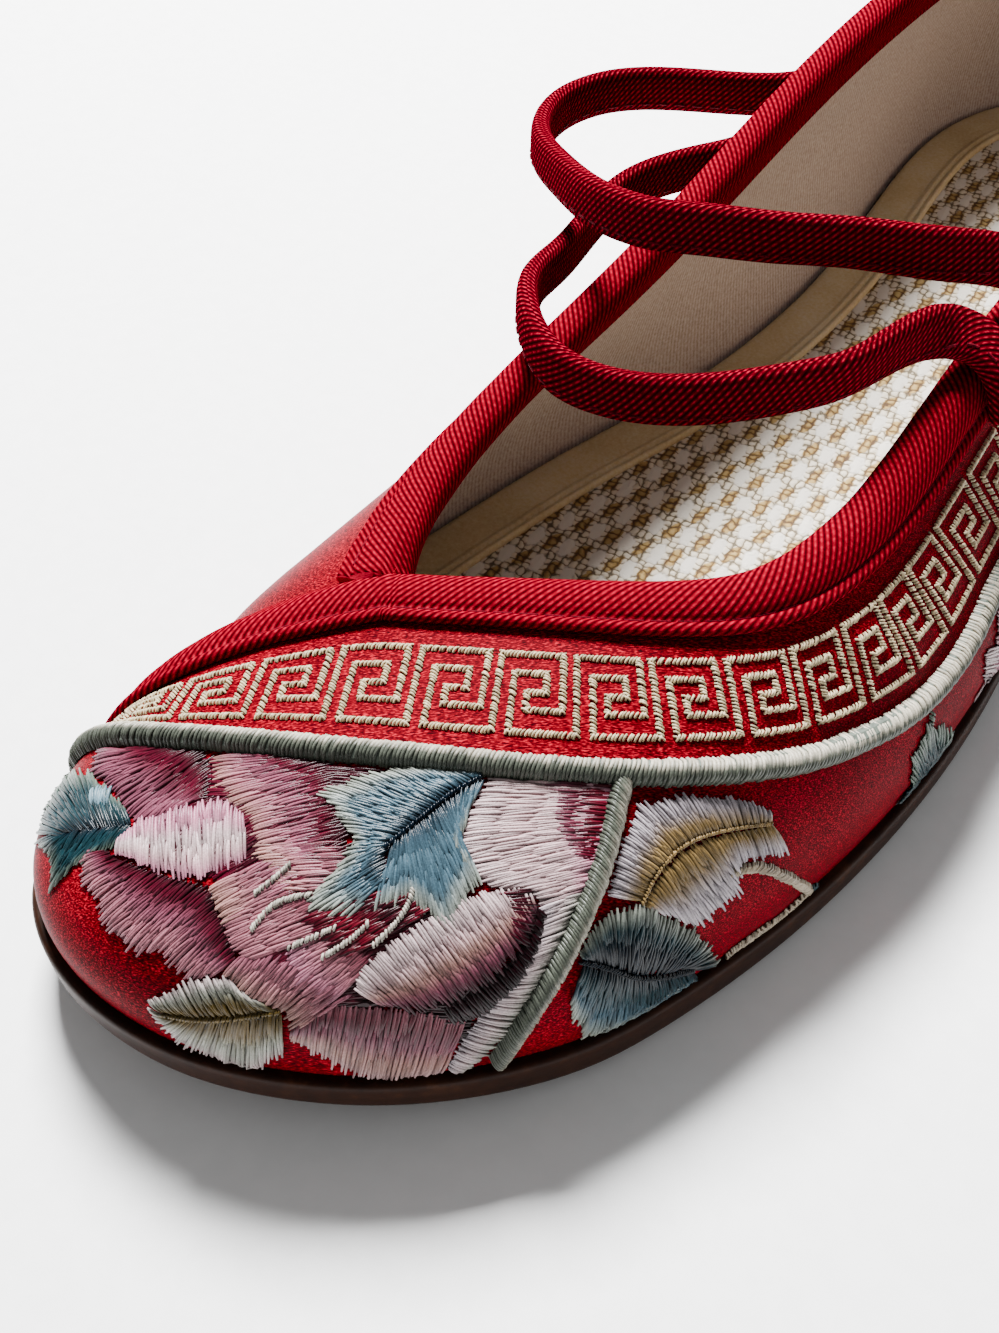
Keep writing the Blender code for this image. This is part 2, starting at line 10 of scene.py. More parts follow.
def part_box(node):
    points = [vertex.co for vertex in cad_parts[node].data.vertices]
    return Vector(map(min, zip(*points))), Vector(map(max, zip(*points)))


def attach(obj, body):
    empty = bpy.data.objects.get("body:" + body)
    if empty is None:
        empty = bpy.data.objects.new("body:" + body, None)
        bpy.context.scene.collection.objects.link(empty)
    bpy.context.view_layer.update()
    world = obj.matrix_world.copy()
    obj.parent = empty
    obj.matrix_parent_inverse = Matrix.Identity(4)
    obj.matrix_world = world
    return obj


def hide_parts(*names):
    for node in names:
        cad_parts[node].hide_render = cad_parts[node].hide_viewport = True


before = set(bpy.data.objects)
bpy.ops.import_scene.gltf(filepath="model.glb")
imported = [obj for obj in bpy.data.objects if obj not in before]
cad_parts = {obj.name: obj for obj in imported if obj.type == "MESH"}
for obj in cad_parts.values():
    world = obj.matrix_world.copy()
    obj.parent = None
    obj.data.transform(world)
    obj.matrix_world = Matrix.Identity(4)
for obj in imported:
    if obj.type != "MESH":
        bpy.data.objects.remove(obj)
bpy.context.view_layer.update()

# The last: the form that the cloth is pulled over and the sole is moulded to. All places are in
# millimetres, measured back from the toe tip, and the frame's own sole says where that tip lies.
# One row for each station round the shoe, from the inner throat corner by the toe, outer side and heel.
MM = 0.001
WELT = 1.4
WALL = 2.0
GAP = 0.3
SoleHeight = namedtuple("SoleHeight", "back under top")
SOLE_HEIGHTS = [
    SoleHeight(0.0, 7.2, 13.2),
    SoleHeight(6.0, 6.0, 11.9),
    SoleHeight(14.0, 4.5, 10.4),
    SoleHeight(25.0, 2.6, 8.9),
    SoleHeight(39.0, 0.9, 7.6),
    SoleHeight(53.0, 0.0, 6.8),
    SoleHeight(78.0, 0.0, 6.5),
    SoleHeight(103.0, 0.0, 6.9),
    SoleHeight(117.0, 0.0, 7.5),
    SoleHeight(135.0, 1.5, 8.8),
    SoleHeight(157.0, 2.8, 10.8),
    SoleHeight(177.0, 1.5, 12.9),
    SoleHeight(191.0, 0.0, 14.1),
    SoleHeight(217.0, 0.0, 15.6),
    SoleHeight(253.0, 0.0, 16.2),
]
Station = namedtuple("Station", "edge_x edge_y top_x top_y top_z swell rise reach drop")
STATIONS = [
    Station(-37.4, 28.0, -16.0, 55.0, 32.4, 2.6, 14.0, 15.0, 3.0),
    Station(-36.6, 17.4, -12.8, 56.6, 33.0, 2.6, 15.5, 19.0, 3.6),
    Station(-33.0, 9.0, -9.4, 58.3, 33.6, 2.6, 17.0, 24.0, 4.2),
    Station(-26.8, 3.6, -6.0, 60.1, 34.2, 2.6, 18.0, 28.0, 4.6),
    Station(-18.6, 0.7, -2.6, 61.9, 34.8, 2.6, 18.5, 31.0, 5.0),
    Station(-9.6, 0.4, 0.8, 63.7, 35.4, 2.6, 18.5, 32.5, 5.2),
    Station(0.0, 2.6, 4.4, 65.6, 36.0, 2.6, 18.5, 32.0, 5.4),
    Station(9.6, 7.6, 8.0, 67.6, 36.6, 2.6, 18.5, 30.5, 5.4),
    Station(18.4, 14.6, 11.6, 69.8, 37.1, 2.6, 18.0, 28.0, 5.6),
    Station(26.2, 23.6, 15.2, 72.4, 37.6, 2.6, 18.0, 24.5, 5.8),
    Station(32.6, 34.4, 18.6, 75.8, 38.0, 2.6, 17.5, 20.0, 6.2),
    Station(37.0, 47.5, 21.4, 80.6, 38.5, 2.8, 17.0, 15.5, 7.0),
    Station(40.6, 62.0, 23.2, 86.8, 39.0, 2.8, 16.5, 12.5, 8.4),
    Station(43.0, 78.5, 24.2, 94.0, 39.8, 3.0, 16.0, 10.5, 10.0),
    Station(43.8, 96.0, 24.4, 103.5, 41.2, 3.0, 15.5, 9.0, 12.0),
    Station(42.6, 115.0, 24.0, 116.5, 43.8, 3.2, 15.0, 7.5, 14.0),
    Station(39.6, 135.0, 23.6, 133.0, 47.0, 3.2, 14.5, 6.5, 16.0),
    Station(36.0, 156.0, 23.8, 152.0, 50.2, 3.2, 14.0, 5.5, 17.0),
    Station(32.6, 178.0, 24.0, 172.0, 53.2, 3.0, 14.0, 4.5, 17.0),
    Station(30.0, 200.0, 23.4, 193.0, 56.0, 2.8, 14.0, 4.0, 17.0),
    Station(27.4, 221.0, 21.6, 213.0, 58.6, 2.8, 14.0, 4.0, 17.0),
    Station(22.4, 238.0, 17.2, 230.0, 61.2, 2.8, 14.0, 4.0, 17.0),
    Station(12.8, 249.4, 9.6, 241.4, 63.2, 2.8, 15.0, 4.0, 17.0),
    Station(0.0, 253.0, 0.0, 245.0, 64.0, 2.8, 15.0, 4.0, 17.0),
    Station(-12.8, 249.4, -9.6, 241.4, 63.2, 2.8, 15.0, 4.0, 17.0),
    Station(-22.8, 238.0, -17.2, 230.0, 61.4, 2.8, 14.0, 4.0, 17.0),
    Station(-28.2, 220.0, -21.6, 213.0, 59.4, 2.8, 14.0, 3.5, 17.0),
    Station(-27.4, 198.0, -23.4, 193.0, 57.6, 2.8, 14.0, 3.0, 17.0),
    Station(-24.6, 176.0, -24.2, 172.0, 55.2, 3.0, 14.0, 2.5, 17.0),
    Station(-24.4, 154.0, -24.4, 152.0, 51.6, 3.2, 14.0, 2.5, 16.0),
    Station(-27.6, 132.0, -24.2, 133.0, 47.4, 3.2, 14.0, 3.0, 15.0),
    Station(-33.2, 111.0, -24.2, 115.0, 43.4, 3.0, 14.0, 4.0, 13.0),
    Station(-37.0, 91.0, -24.6, 97.0, 39.6, 2.8, 14.0, 5.5, 11.0),
    Station(-39.4, 72.0, -24.2, 81.0, 36.2, 2.6, 14.0, 7.5, 8.5),
    Station(-39.8, 55.5, -22.2, 69.0, 33.8, 2.6, 14.0, 10.0, 6.0),
    Station(-38.8, 41.0, -19.4, 61.2, 32.8, 2.6, 14.0, 12.5, 4.0),
]
COUNT = len(STATIONS)
HEEL = 23.0
PROFILE_STEPS = 497
EDGE_STEPS = 1200
OUTLINE_REACH = 0.02
SHELL_REACH = 0.04
SHELL_RISE = 0.01
OUTWARD_PULL = 12.0


def spline_slopes(values, closed):
    """Slopes of the cubic spline through equally spaced values."""
    n = len(values)
    matrix = np.zeros((n, n))
    right = np.zeros_like(values)
    for i in range(n):
        before, after = i - 1, i + 1
        matrix[i, i] = 4.0
        if closed:
            before, after = before % n, after % n
        if i == 0 and not closed:
            matrix[0, 0], matrix[0, 1] = 2.0, 1.0
            right[0] = 3.0 * (values[1] - values[0])
            continue
        if i == n - 1 and not closed:
            matrix[i, i], matrix[i, before] = 2.0, 1.0
            right[i] = 3.0 * (values[i] - values[before])
            continue
        matrix[i, before] += 1.0
        matrix[i, after] += 1.0
        right[i] = 3.0 * (values[after] - values[before])
    return np.linalg.solve(matrix, right)


def spline(values, closed=False):
    """Function of a row number that runs smoothly through the rows."""
    values = np.asarray(values, float)
    slopes = spline_slopes(values, closed)
    n = len(values)

    def at(row):
        row = np.atleast_1d(np.asarray(row, float))
        low = np.floor(row).astype(int)
        if not closed:
            low = np.clip(low, 0, n - 2)
        t = (row - low)[:, None]
        a, b = low % n, (low + 1) % n
        h1 = t * t * (3.0 - 2.0 * t)
        return (values[a] * (1.0 - h1) + values[b] * h1
                + slopes[a] * (t * (1.0 - t) ** 2) - slopes[b] * (t * t * (1.0 - t)))

    return at


def monotone(xs, ys, fine):
    """Smooth heights without overshoot, so that flat spots stay flat."""
    xs, ys = np.asarray(xs), np.asarray(ys)
    step = np.diff(xs)
    rate = np.diff(ys) / step
    slope = np.zeros(len(xs))
    for i in range(1, len(xs) - 1):
        if rate[i - 1] * rate[i] > 0.0:
            w1 = 2.0 * step[i] + step[i - 1]
            w2 = step[i] + 2.0 * step[i - 1]
            slope[i] = (w1 + w2) / (w1 / rate[i - 1] + w2 / rate[i])
    slope[0], slope[-1] = rate[0], rate[-1]
    i = np.clip(np.searchsorted(xs, fine) - 1, 0, len(xs) - 2)
    t = (fine - xs[i]) / step[i]
    h1 = t * t * (3.0 - 2.0 * t)
    return (ys[i] * (1.0 - h1) + ys[i + 1] * h1
            + slope[i] * step[i] * t * (1.0 - t) ** 2 - slope[i + 1] * step[i] * t * t * (1.0 - t))


def unit(vectors):
    return vectors / np.linalg.norm(vectors, axis=-1, keepdims=True)


outline = spline([(s.edge_x, s.edge_y) for s in STATIONS], closed=True)
topline = spline([(s.top_x, s.top_y, s.top_z) for s in STATIONS + STATIONS[:1]])
wall_shape = spline([(s.swell, s.rise, s.reach, s.drop) for s in STATIONS], closed=True)
FINE_BACK = np.linspace(SOLE_HEIGHTS[0].back, SOLE_HEIGHTS[-1].back, PROFILE_STEPS)
FINE_UNDER = monotone([h.back for h in SOLE_HEIGHTS], [h.under for h in SOLE_HEIGHTS], FINE_BACK)
FINE_TOP = monotone([h.back for h in SOLE_HEIGHTS], [h.top for h in SOLE_HEIGHTS], FINE_BACK)

edge_line = outline(np.linspace(0, COUNT, EDGE_STEPS))
sole_corner = np.array(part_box("outsole")[0]) / MM
TOE_TIP = np.array([*(sole_corner[:2] - edge_line.min(axis=0)), 0.0])


def sole_under(back):
    return np.interp(back, FINE_BACK, FINE_UNDER)


def sole_top(back):
    return np.interp(back, FINE_BACK, FINE_TOP)


def outline_out(station):
    """Plan direction straight out of the outline."""
    along = unit(outline(station + OUTLINE_REACH) - outline(station - OUTLINE_REACH))
    return np.stack([along[:, 1], -along[:, 0]], axis=1)


def shell(station, height):
    """Outer face of the upper: height 0 at the sole, 1 at the free edge."""
    station = np.atleast_1d(np.asarray(station, float))
    t = np.broadcast_to(np.asarray(height, float), station.shape)[:, None]
    out = outline_out(station)
    foot_xy = outline(station) - WELT * out
    foot = np.column_stack([foot_xy, sole_top(foot_xy[:, 1]) + GAP])
    top = topline(station)
    swell, rise, reach, drop = wall_shape(station).T
    toward = unit((foot - top)[:, :2] + OUTWARD_PULL * out)
    low = foot + np.column_stack([out * swell[:, None], rise])
    high = top + np.column_stack([toward * reach[:, None], -drop])
    return ((1 - t) ** 3 * foot + 3 * t * (1 - t) ** 2 * low
            + 3 * t * t * (1 - t) * high + t ** 3 * top)


def shell_out(station, height):
    """Unit direction straight out of the shell."""
    station = np.atleast_1d(np.asarray(station, float))
    height = np.broadcast_to(np.asarray(height, float), station.shape)
    lo, hi = np.clip(station - SHELL_REACH, 0, COUNT), np.clip(station + SHELL_REACH, 0, COUNT)
    along = shell(hi, height) - shell(lo, height)
    down, up = np.clip(height - SHELL_RISE, 0, 1), np.clip(height + SHELL_RISE, 0, 1)
    rising = shell(station, up) - shell(station, down)
    return unit(np.cross(along, rising))


# Camera: close over the toe and the outer side, looking down along the shoe. Its lens and place are the
# photograph's, found by laying the shoe's outline over it, so a photo pixel can be cast on to the shoe.
PHOTO_WIDTH = 999.0
PHOTO_HEIGHT = 1333.0
FOCAL_PIXELS = 1350.0
CAMERA_TURN = radians(39.0)
CAMERA_DIP = radians(49.6)
CAMERA_EYE = np.array([64.5, -23.8, 148.8])
SENSOR_HEIGHT = 36.0
NEAR_CLIP = 0.01
level_view = np.array([-sin(CAMERA_TURN), cos(CAMERA_TURN), 0.0])
view_right = np.array([cos(CAMERA_TURN), sin(CAMERA_TURN), 0.0])
view_ahead = level_view * cos(CAMERA_DIP) - np.array([0.0, 0.0, sin(CAMERA_DIP)])
view_up = level_view * sin(CAMERA_DIP) + np.array([0.0, 0.0, cos(CAMERA_DIP)])

lens = bpy.data.cameras.new("camera")
lens.sensor_fit = "VERTICAL"
lens.sensor_height = SENSOR_HEIGHT
lens.lens = FOCAL_PIXELS / PHOTO_HEIGHT * SENSOR_HEIGHT
lens.clip_start = NEAR_CLIP
camera = bpy.data.objects.new("camera", lens)
camera.location = (CAMERA_EYE + TOE_TIP) * MM
camera.rotation_euler = (pi / 2 - CAMERA_DIP, 0.0, CAMERA_TURN)
bpy.context.scene.collection.objects.link(camera)
bpy.context.scene.camera = camera


def sight(pixel):
    """Direction of the line of sight through a photo pixel."""
    across = (pixel[0] - 0.5 * PHOTO_WIDTH) / FOCAL_PIXELS
    down = (pixel[1] - 0.5 * PHOTO_HEIGHT) / FOCAL_PIXELS
    return view_ahead + across * view_right - down * view_up


# Outsole: one moulded unit of smooth dark brown rubber with a rounded lower edge, toe spring, raised
# waist and low heel. The upper is cemented on to its top face, a little inside the rim.
SOLE_STEPS = 130
RIM_STEPS = 2400
DYE_DEPTH = 0.58
DYE_CURVE = 1.3
RUBBER_SHEEN = 0.08
SoleRow = namedtuple("SoleRow", "inset face lift")
SOLE_PROFILE = [
    SoleRow(2.6, sole_under, 0.0),
    SoleRow(1.7, sole_under, 0.04),
    SoleRow(1.0, sole_under, 0.25),
    SoleRow(0.45, sole_under, 0.7),
    SoleRow(0.12, sole_under, 1.3),
    SoleRow(0.0, sole_under, 2.0),
    SoleRow(0.0, sole_top, -2.2),
    SoleRow(0.0, sole_top, -1.0),
    SoleRow(0.1, sole_top, -0.5),
    SoleRow(0.35, sole_top, -0.15),
    SoleRow(0.75, sole_top, 0.0),
    SoleRow(2.6, sole_top, 0.0),
]


def dye(red, green, blue):
    """Linear colour from red, green, blue out of 255, deepened to suit cloth under the lamp."""
    seen = np.array([red, green, blue]) / 255.0
    linear = np.where(seen <= 0.04045, seen / 12.92, ((seen + 0.055) / 1.055) ** 2.4)
    return (*(DYE_DEPTH * linear ** DYE_CURVE), 1.0)


def add_node(tree, kind, values=None, **settings):
    """New shader node. Values fill its inputs, by name or number, with numbers or other nodes' outputs."""
    made = tree.nodes.new("ShaderNode" + kind)
    for key, setting in settings.items():
        setattr(made, key, setting)
    for key, value in (values or {}).items():
        if isinstance(value, bpy.types.NodeSocket):
            tree.links.new(value, made.inputs[key])
        else:
            made.inputs[key].default_value = value
    return made


def calc(tree, operation, *values):
    """Output of a math node."""
    return add_node(tree, "Math", dict(enumerate(values)), operation=operation).outputs[0]


def ramp(tree, value, stops):
    """Colour output of a ramp through stops of (place, colour)."""
    made = add_node(tree, "ValToRGB", {"Fac": value})
    elements = made.color_ramp.elements
    while len(elements) < len(stops):
        elements.new(0.5)
    for element, (place, colour) in zip(elements, stops):
        element.position = place
        element.color = colour
    return made.outputs["Color"]


def noise(tree, vector, scale, detail=3.0, roughness=0.5):
    """Value output of a noise texture."""
    values = {"Vector": vector, "Scale": scale, "Detail": detail, "Roughness": roughness}
    return add_node(tree, "TexNoise", values).outputs["Fac"]


def new_material(name, roughness):
    """Material with its node tree, its shader and the piece's Object coordinates."""
    material = bpy.data.materials.new(name)
    material.use_nodes = True
    tree = material.node_tree
    shader = tree.nodes["Principled BSDF"]
    shader.inputs["Roughness"].default_value = roughness
    place = add_node(tree, "TexCoord").outputs["Object"]
    return material, tree, shader, place


def bump(tree, shader, height, strength, depth):
    """Surface relief from a height, depth in millimetres."""
    values = {"Height": height, "Strength": strength, "Distance": depth * MM}
    tree.links.new(add_node(tree, "Bump", values).outputs["Normal"], shader.inputs["Normal"])


def new_piece(name, points, faces, materials, uv=None, inside=None):
    """Smooth mesh from points in millimetres, with UV for each corner and the second material inside."""
    mesh = bpy.data.meshes.new(name)
    mesh.from_pydata(((np.asarray(points) + TOE_TIP) * MM).tolist(), [], [list(map(int, f)) for f in faces])
    if uv is not None:
        mesh.uv_layers.new(name="cloth").data.foreach_set("uv", np.asarray(uv, float).ravel())
    for material in materials:
        mesh.materials.append(material)
    if inside is not None:
        mesh.polygons.foreach_set("material_index", inside)
    mesh.shade_smooth()
    mesh.update()
    obj = bpy.data.objects.new(name, mesh)
    bpy.context.scene.collection.objects.link(obj)
    return obj


def split_outline(inset, steps):
    """Outline pulled in by inset, cut into inner and outer sides at the same steps back."""
    station = np.linspace(0, COUNT, RIM_STEPS, endpoint=False)
    xy = outline(station) - inset * outline_out(station)
    tip, end = np.argmin(xy[:, 1]), np.argmax(xy[:, 1])
    outer = xy[tip:end + 1]
    inner = np.concatenate([xy[end:], xy[:tip + 1]])[::-1]
    share = 0.5 * (1.0 - np.cos(pi * np.arange(steps + 1) / steps))
    back = xy[tip, 1] + (xy[end, 1] - xy[tip, 1]) * share
    return back, np.interp(back, inner[:, 1], inner[:, 0]), np.interp(back, outer[:, 1], outer[:, 0])


def sole_ring(inset, face, lift, steps=SOLE_STEPS):
    """Ring of points: tip, inner side to the heel, heel end, outer side to the tip."""
    back, inner, outer = split_outline(inset, steps)
    xs = np.concatenate([inner, outer[-2:0:-1]])
    ys = np.concatenate([back, back[-2:0:-1]])
    return np.column_stack([xs, ys, face(ys) + lift])


def plate(rings, steps=SOLE_STEPS):
    """Closed plate from stacked rings, capped by strips across the shoe."""
    n = len(rings[0])
    faces = []
    for k in range(len(rings) - 1):
        a, b = k * n, (k + 1) * n
        faces += [(a + (i + 1) % n, a + i, b + i, b + (i + 1) % n) for i in range(n)]
    top = (len(rings) - 1) * n
    for a in range(steps):
        c, d = (n - a - 1) % n, (n - a) % n
        quad = [a, a + 1] + ([c] if c != a + 1 else []) + ([d] if d != a else [])
        faces.append(quad)
        faces.append([top + q for q in reversed(quad)])
    return np.concatenate(rings), faces


rubber, tree, shader, place = new_material("brown_rubber", 0.5)
shader.inputs["Specular IOR Level"].default_value = RUBBER_SHEEN
scuff = noise(tree, place, 420.0, 5.0, 0.65)
cloud = noise(tree, place, 45.0)
mixed = calc(tree, "MULTIPLY_ADD", scuff, 0.6, calc(tree, "MULTIPLY", cloud, 0.4))
colours = [(0.3, dye(50, 27, 15)), (0.55, dye(76, 46, 28)), (0.75, dye(108, 72, 46))]
tree.links.new(ramp(tree, mixed, colours), shader.inputs["Base Color"])
bump(tree, shader, noise(tree, place, 2600.0), 0.25, 0.05)

points, faces = plate([sole_ring(*row) for row in SOLE_PROFILE])
sole = new_piece("sole_unit", points, faces, [rubber])
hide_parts("outsole")
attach(sole, "root")

# Insole: a white jacquard sock with ochre flecks on a thin board, lying loose inside the upper. A cream
# strip with two corded ridges is sewn round its edge.
INSOLE_THICK = 2.4
INSOLE_INSET = WELT + WALL + GAP
FLECK_ACROSS = 4.9
FLECK_ALONG = 10.1
FLECK_TURN = radians(10.5)
FLECK_LEAN = 0.35
KNOTS_ACROSS = 2.0
KNOTS_ALONG = 4.0
QUARTER_CYCLE = 0.25
WEAVE_DRIFT = 0.22
NONE_OF_IT = (0.0, 0.0, 0.0, 1.0)
ALL_OF_IT = (1.0, 1.0, 1.0, 1.0)
SOCK_STEPS = 120
SOCK_PROFILE = [
    SoleRow(INSOLE_INSET + 0.3, sole_top, GAP),
    SoleRow(INSOLE_INSET, sole_top, GAP + 0.5 * INSOLE_THICK),
    SoleRow(INSOLE_INSET + 0.2, sole_top, GAP + 0.9 * INSOLE_THICK),
    SoleRow(INSOLE_INSET + 0.7, sole_top, GAP + INSOLE_THICK),
]
BORDER_FLOOR = GAP + INSOLE_THICK
BORDER_PROFILE = [
    SoleRow(4.1, sole_top, BORDER_FLOOR - 0.3),
    SoleRow(4.2, sole_top, BORDER_FLOOR + 0.3),
    SoleRow(4.9, sole_top, BORDER_FLOOR + 0.5),
    SoleRow(8.0, sole_top, BORDER_FLOOR + 0.55),
    SoleRow(10.2, sole_top, BORDER_FLOOR + 0.5),
    SoleRow(10.6, sole_top, BORDER_FLOOR + 0.5),
    SoleRow(10.9, sole_top, BORDER_FLOOR + 0.8),
    SoleRow(11.3, sole_top, BORDER_FLOOR + 0.95),
    SoleRow(11.7, sole_top, BORDER_FLOOR + 0.75),
    SoleRow(11.9, sole_top, BORDER_FLOOR + 0.45),
    SoleRow(12.1, sole_top, BORDER_FLOOR + 0.75),
    SoleRow(12.5, sole_top, BORDER_FLOOR + 0.95),
    SoleRow(12.9, sole_top, BORDER_FLOOR + 0.7),
    SoleRow(13.1, sole_top, BORDER_FLOOR - 0.3),
]

sock_cloth, tree, shader, place = new_material("jacquard_sock", 0.85)
turned = add_node(tree, "Mapping", {"Vector": place, "Rotation": (0.0, 0.0, -FLECK_TURN)}).outputs["Vector"]
split = add_node(tree, "SeparateXYZ", {"Vector": turned})
drift_across = calc(tree, "MULTIPLY", noise(tree, place, 620.0, 2.0), WEAVE_DRIFT)
drift_along = calc(tree, "MULTIPLY", noise(tree, turned, 540.0, 2.0), WEAVE_DRIFT)
across = calc(tree, "MULTIPLY_ADD", split.outputs["X"], 1.0 / (FLECK_ACROSS * MM), drift_across)
along = calc(tree, "MULTIPLY_ADD", split.outputs["Y"], 1.0 / (FLECK_ALONG * MM), drift_along)


def wave(tree, value, cycles):
    """Cosine of a value, with so many cycles to each step of 1."""
    return calc(tree, "COSINE", calc(tree, "MULTIPLY", value, 2.0 * pi * cycles))


wobble = noise(tree, place, 1100.0, 2.0)
loose = calc(tree, "MULTIPLY_ADD", wobble, 0.7, -0.35)
lattice = calc(tree, "MULTIPLY", wave(tree, across, 1.0), wave(tree, along, 1.0))
crossing = calc(tree, "MULTIPLY", wave(tree, across, KNOTS_ACROSS), wave(tree, along, KNOTS_ALONG))
knots = calc(tree, "ABSOLUTE", crossing)
swell = calc(tree, "MULTIPLY_ADD", loose, 0.9, knots)
colours = [(0.06, dye(138, 126, 104)), (0.28, dye(216, 202, 178)), (0.55, dye(255, 244, 224))]
weave = ramp(tree, swell, colours)
dome = calc(tree, "MULTIPLY_ADD", lattice, -1.0, calc(tree, "MULTIPLY", loose, 0.5))
puff = ramp(tree, dome, [(0.22, NONE_OF_IT), (0.5, ALL_OF_IT)])
puffed = add_node(tree, "Mix", {0: puff, 6: weave, 7: dye(255, 249, 238)}, data_type="RGBA")
behind_across = wave(tree, calc(tree, "SUBTRACT", across, QUARTER_CYCLE), 1.0)
behind_along = wave(tree, calc(tree, "SUBTRACT", along, QUARTER_CYCLE), 1.0)
slant = calc(tree, "MULTIPLY", behind_across, behind_along)
leaning = calc(tree, "MULTIPLY_ADD", slant, FLECK_LEAN, lattice)
ragged = calc(tree, "ADD", loose, leaning)
fleck = ramp(tree, ragged, [(0.36, NONE_OF_IT), (0.6, ALL_OF_IT)])
colours = [(0.05, dye(118, 88, 46)), (0.35, dye(178, 146, 84)), (0.8, dye(216, 188, 130))]
ochre = ramp(tree, swell, colours)
mixed = add_node(tree, "Mix", {0: fleck, 6: puffed.outputs[2], 7: ochre}, data_type="RGBA")
tree.links.new(mixed.outputs[2], shader.inputs["Base Color"])
bump(tree, shader, calc(tree, "MAXIMUM", swell, dome), 0.55, 0.4)

points, faces = plate([sole_ring(*row, SOCK_STEPS) for row in SOCK_PROFILE], SOCK_STEPS)
sock = new_piece("insole_sock", points, faces, [sock_cloth])
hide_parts("insole")
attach(sock, "root")

strip_cloth, tree, shader, place = new_material("cream_strip", 0.8)
threads = noise(tree, place, 1800.0, 4.0, 0.7)
shade = noise(tree, place, 60.0)
tone = calc(tree, "MULTIPLY_ADD", threads, 0.5, calc(tree, "MULTIPLY", shade, 0.5))
colours = [(0.3, dye(214, 192, 148)), (0.5, dye(236, 218, 178)), (0.7, dye(248, 236, 206))]
tree.links.new(ramp(tree, tone, colours), shader.inputs["Base Color"])
bump(tree, shader, threads, 0.35, 0.15)

rings = [sole_ring(*row, SOCK_STEPS) for row in BORDER_PROFILE]
n = len(rings[0])
faces = []
for k in range(len(rings)):
    a, b = k * n, (k + 1) % len(rings) * n
    faces += [(a + (i + 1) % n, a + i, b + i, b + (i + 1) % n) for i in range(n)]
strip = new_piece("insole_strip", np.concatenate(rings), faces, [strip_cloth])
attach(strip, "root")

# Upper: red satin over a taupe cotton lining, lasted as one shell with its lower edge cemented to the sole.
# The vamp wraps over the toe and the outer side; soft creases run where the cloth was pulled and worn.
COLUMNS_PER_STATION = 8
UPPER_COLUMNS = COLUMNS_PER_STATION * COUNT
UPPER_ROWS = 44
FLOAT_TURN = radians(38.0)
FLOAT_STRETCH = 3.6
FLOATS_PER_METRE = 6500.0
CLOUDS_PER_METRE = 70.0
CLOUD_SHARE = 0.07
SATIN_SHEEN = 0.01
LINING_RIBS_PER_MM = 1.3
Crease = namedtuple("Crease", "x1 y1 z1 x2 y2 z2 width depth")
CREASES = [
    Crease(33.0, 60.0, 33.0, 41.0, 66.0, 20.0, 3.2, 0.55),
    Crease(38.0, 74.0, 27.0, 44.5, 84.0, 16.0, 3.6, 0.50),
    Crease(27.0, 78.0, 38.0, 37.0, 88.0, 27.0, 2.8, -0.40),
    Crease(41.0, 108.0, 24.0, 41.0, 128.0, 19.0, 4.0, 0.45),
    Crease(-38.0, 60.0, 22.0, -36.0, 84.0, 30.0, 3.4, 0.55),
    Crease(-33.0, 96.0, 34.0, -32.0, 120.0, 26.0, 3.6, 0.45),
    Crease(-26.0, 46.0, 30.0, -34.0, 44.0, 22.0, 2.6, 0.40),
    Crease(12.0, 251.0, 30.0, 24.0, 238.0, 26.0, 3.4, 0.40),
    Crease(-12.0, 251.0, 34.0, -25.0, 236.0, 28.0, 3.4, 0.40),
    Crease(-2.0, 4.0, 20.0, 10.0, 9.5, 17.0, 2.6, 0.30),
]


def crease_depth(points):
    """How far the creases press the cloth in at each point."""
    depth = np.zeros(len(points))
    for crease in CREASES:
        start, end = np.array(crease[:3]), np.array(crease[3:6])
        run = end - start
        share = np.clip((points - start) @ run / (run @ run), 0.0, 1.0)
        away = np.linalg.norm(points - start - share[:, None] * run, axis=1)
        depth += crease.depth * np.exp(-(away / crease.width) ** 2)
    return depth


def run_along(points):
    """Distance of each point from the first, along the line through them."""
    return np.concatenate([[0.0], np.cumsum(np.linalg.norm(np.diff(points, axis=0), axis=1))])


def ring_faces(count, a, b):
    """Quads between two rings of points that start at a and b."""
    return [(a + i, a + (i + 1) % count, b + (i + 1) % count, b + i) for i in range(count)]


def ring_uv(around, low, high):
    """UV corners of the quads between two rings, around in millimetres."""
    a, b = around[:-1], around[1:]
    low, high = np.full(len(a), low), np.full(len(a), high)
    return np.stack([a, low, b, low, b, high, a, high], axis=1).reshape(-1, 2)


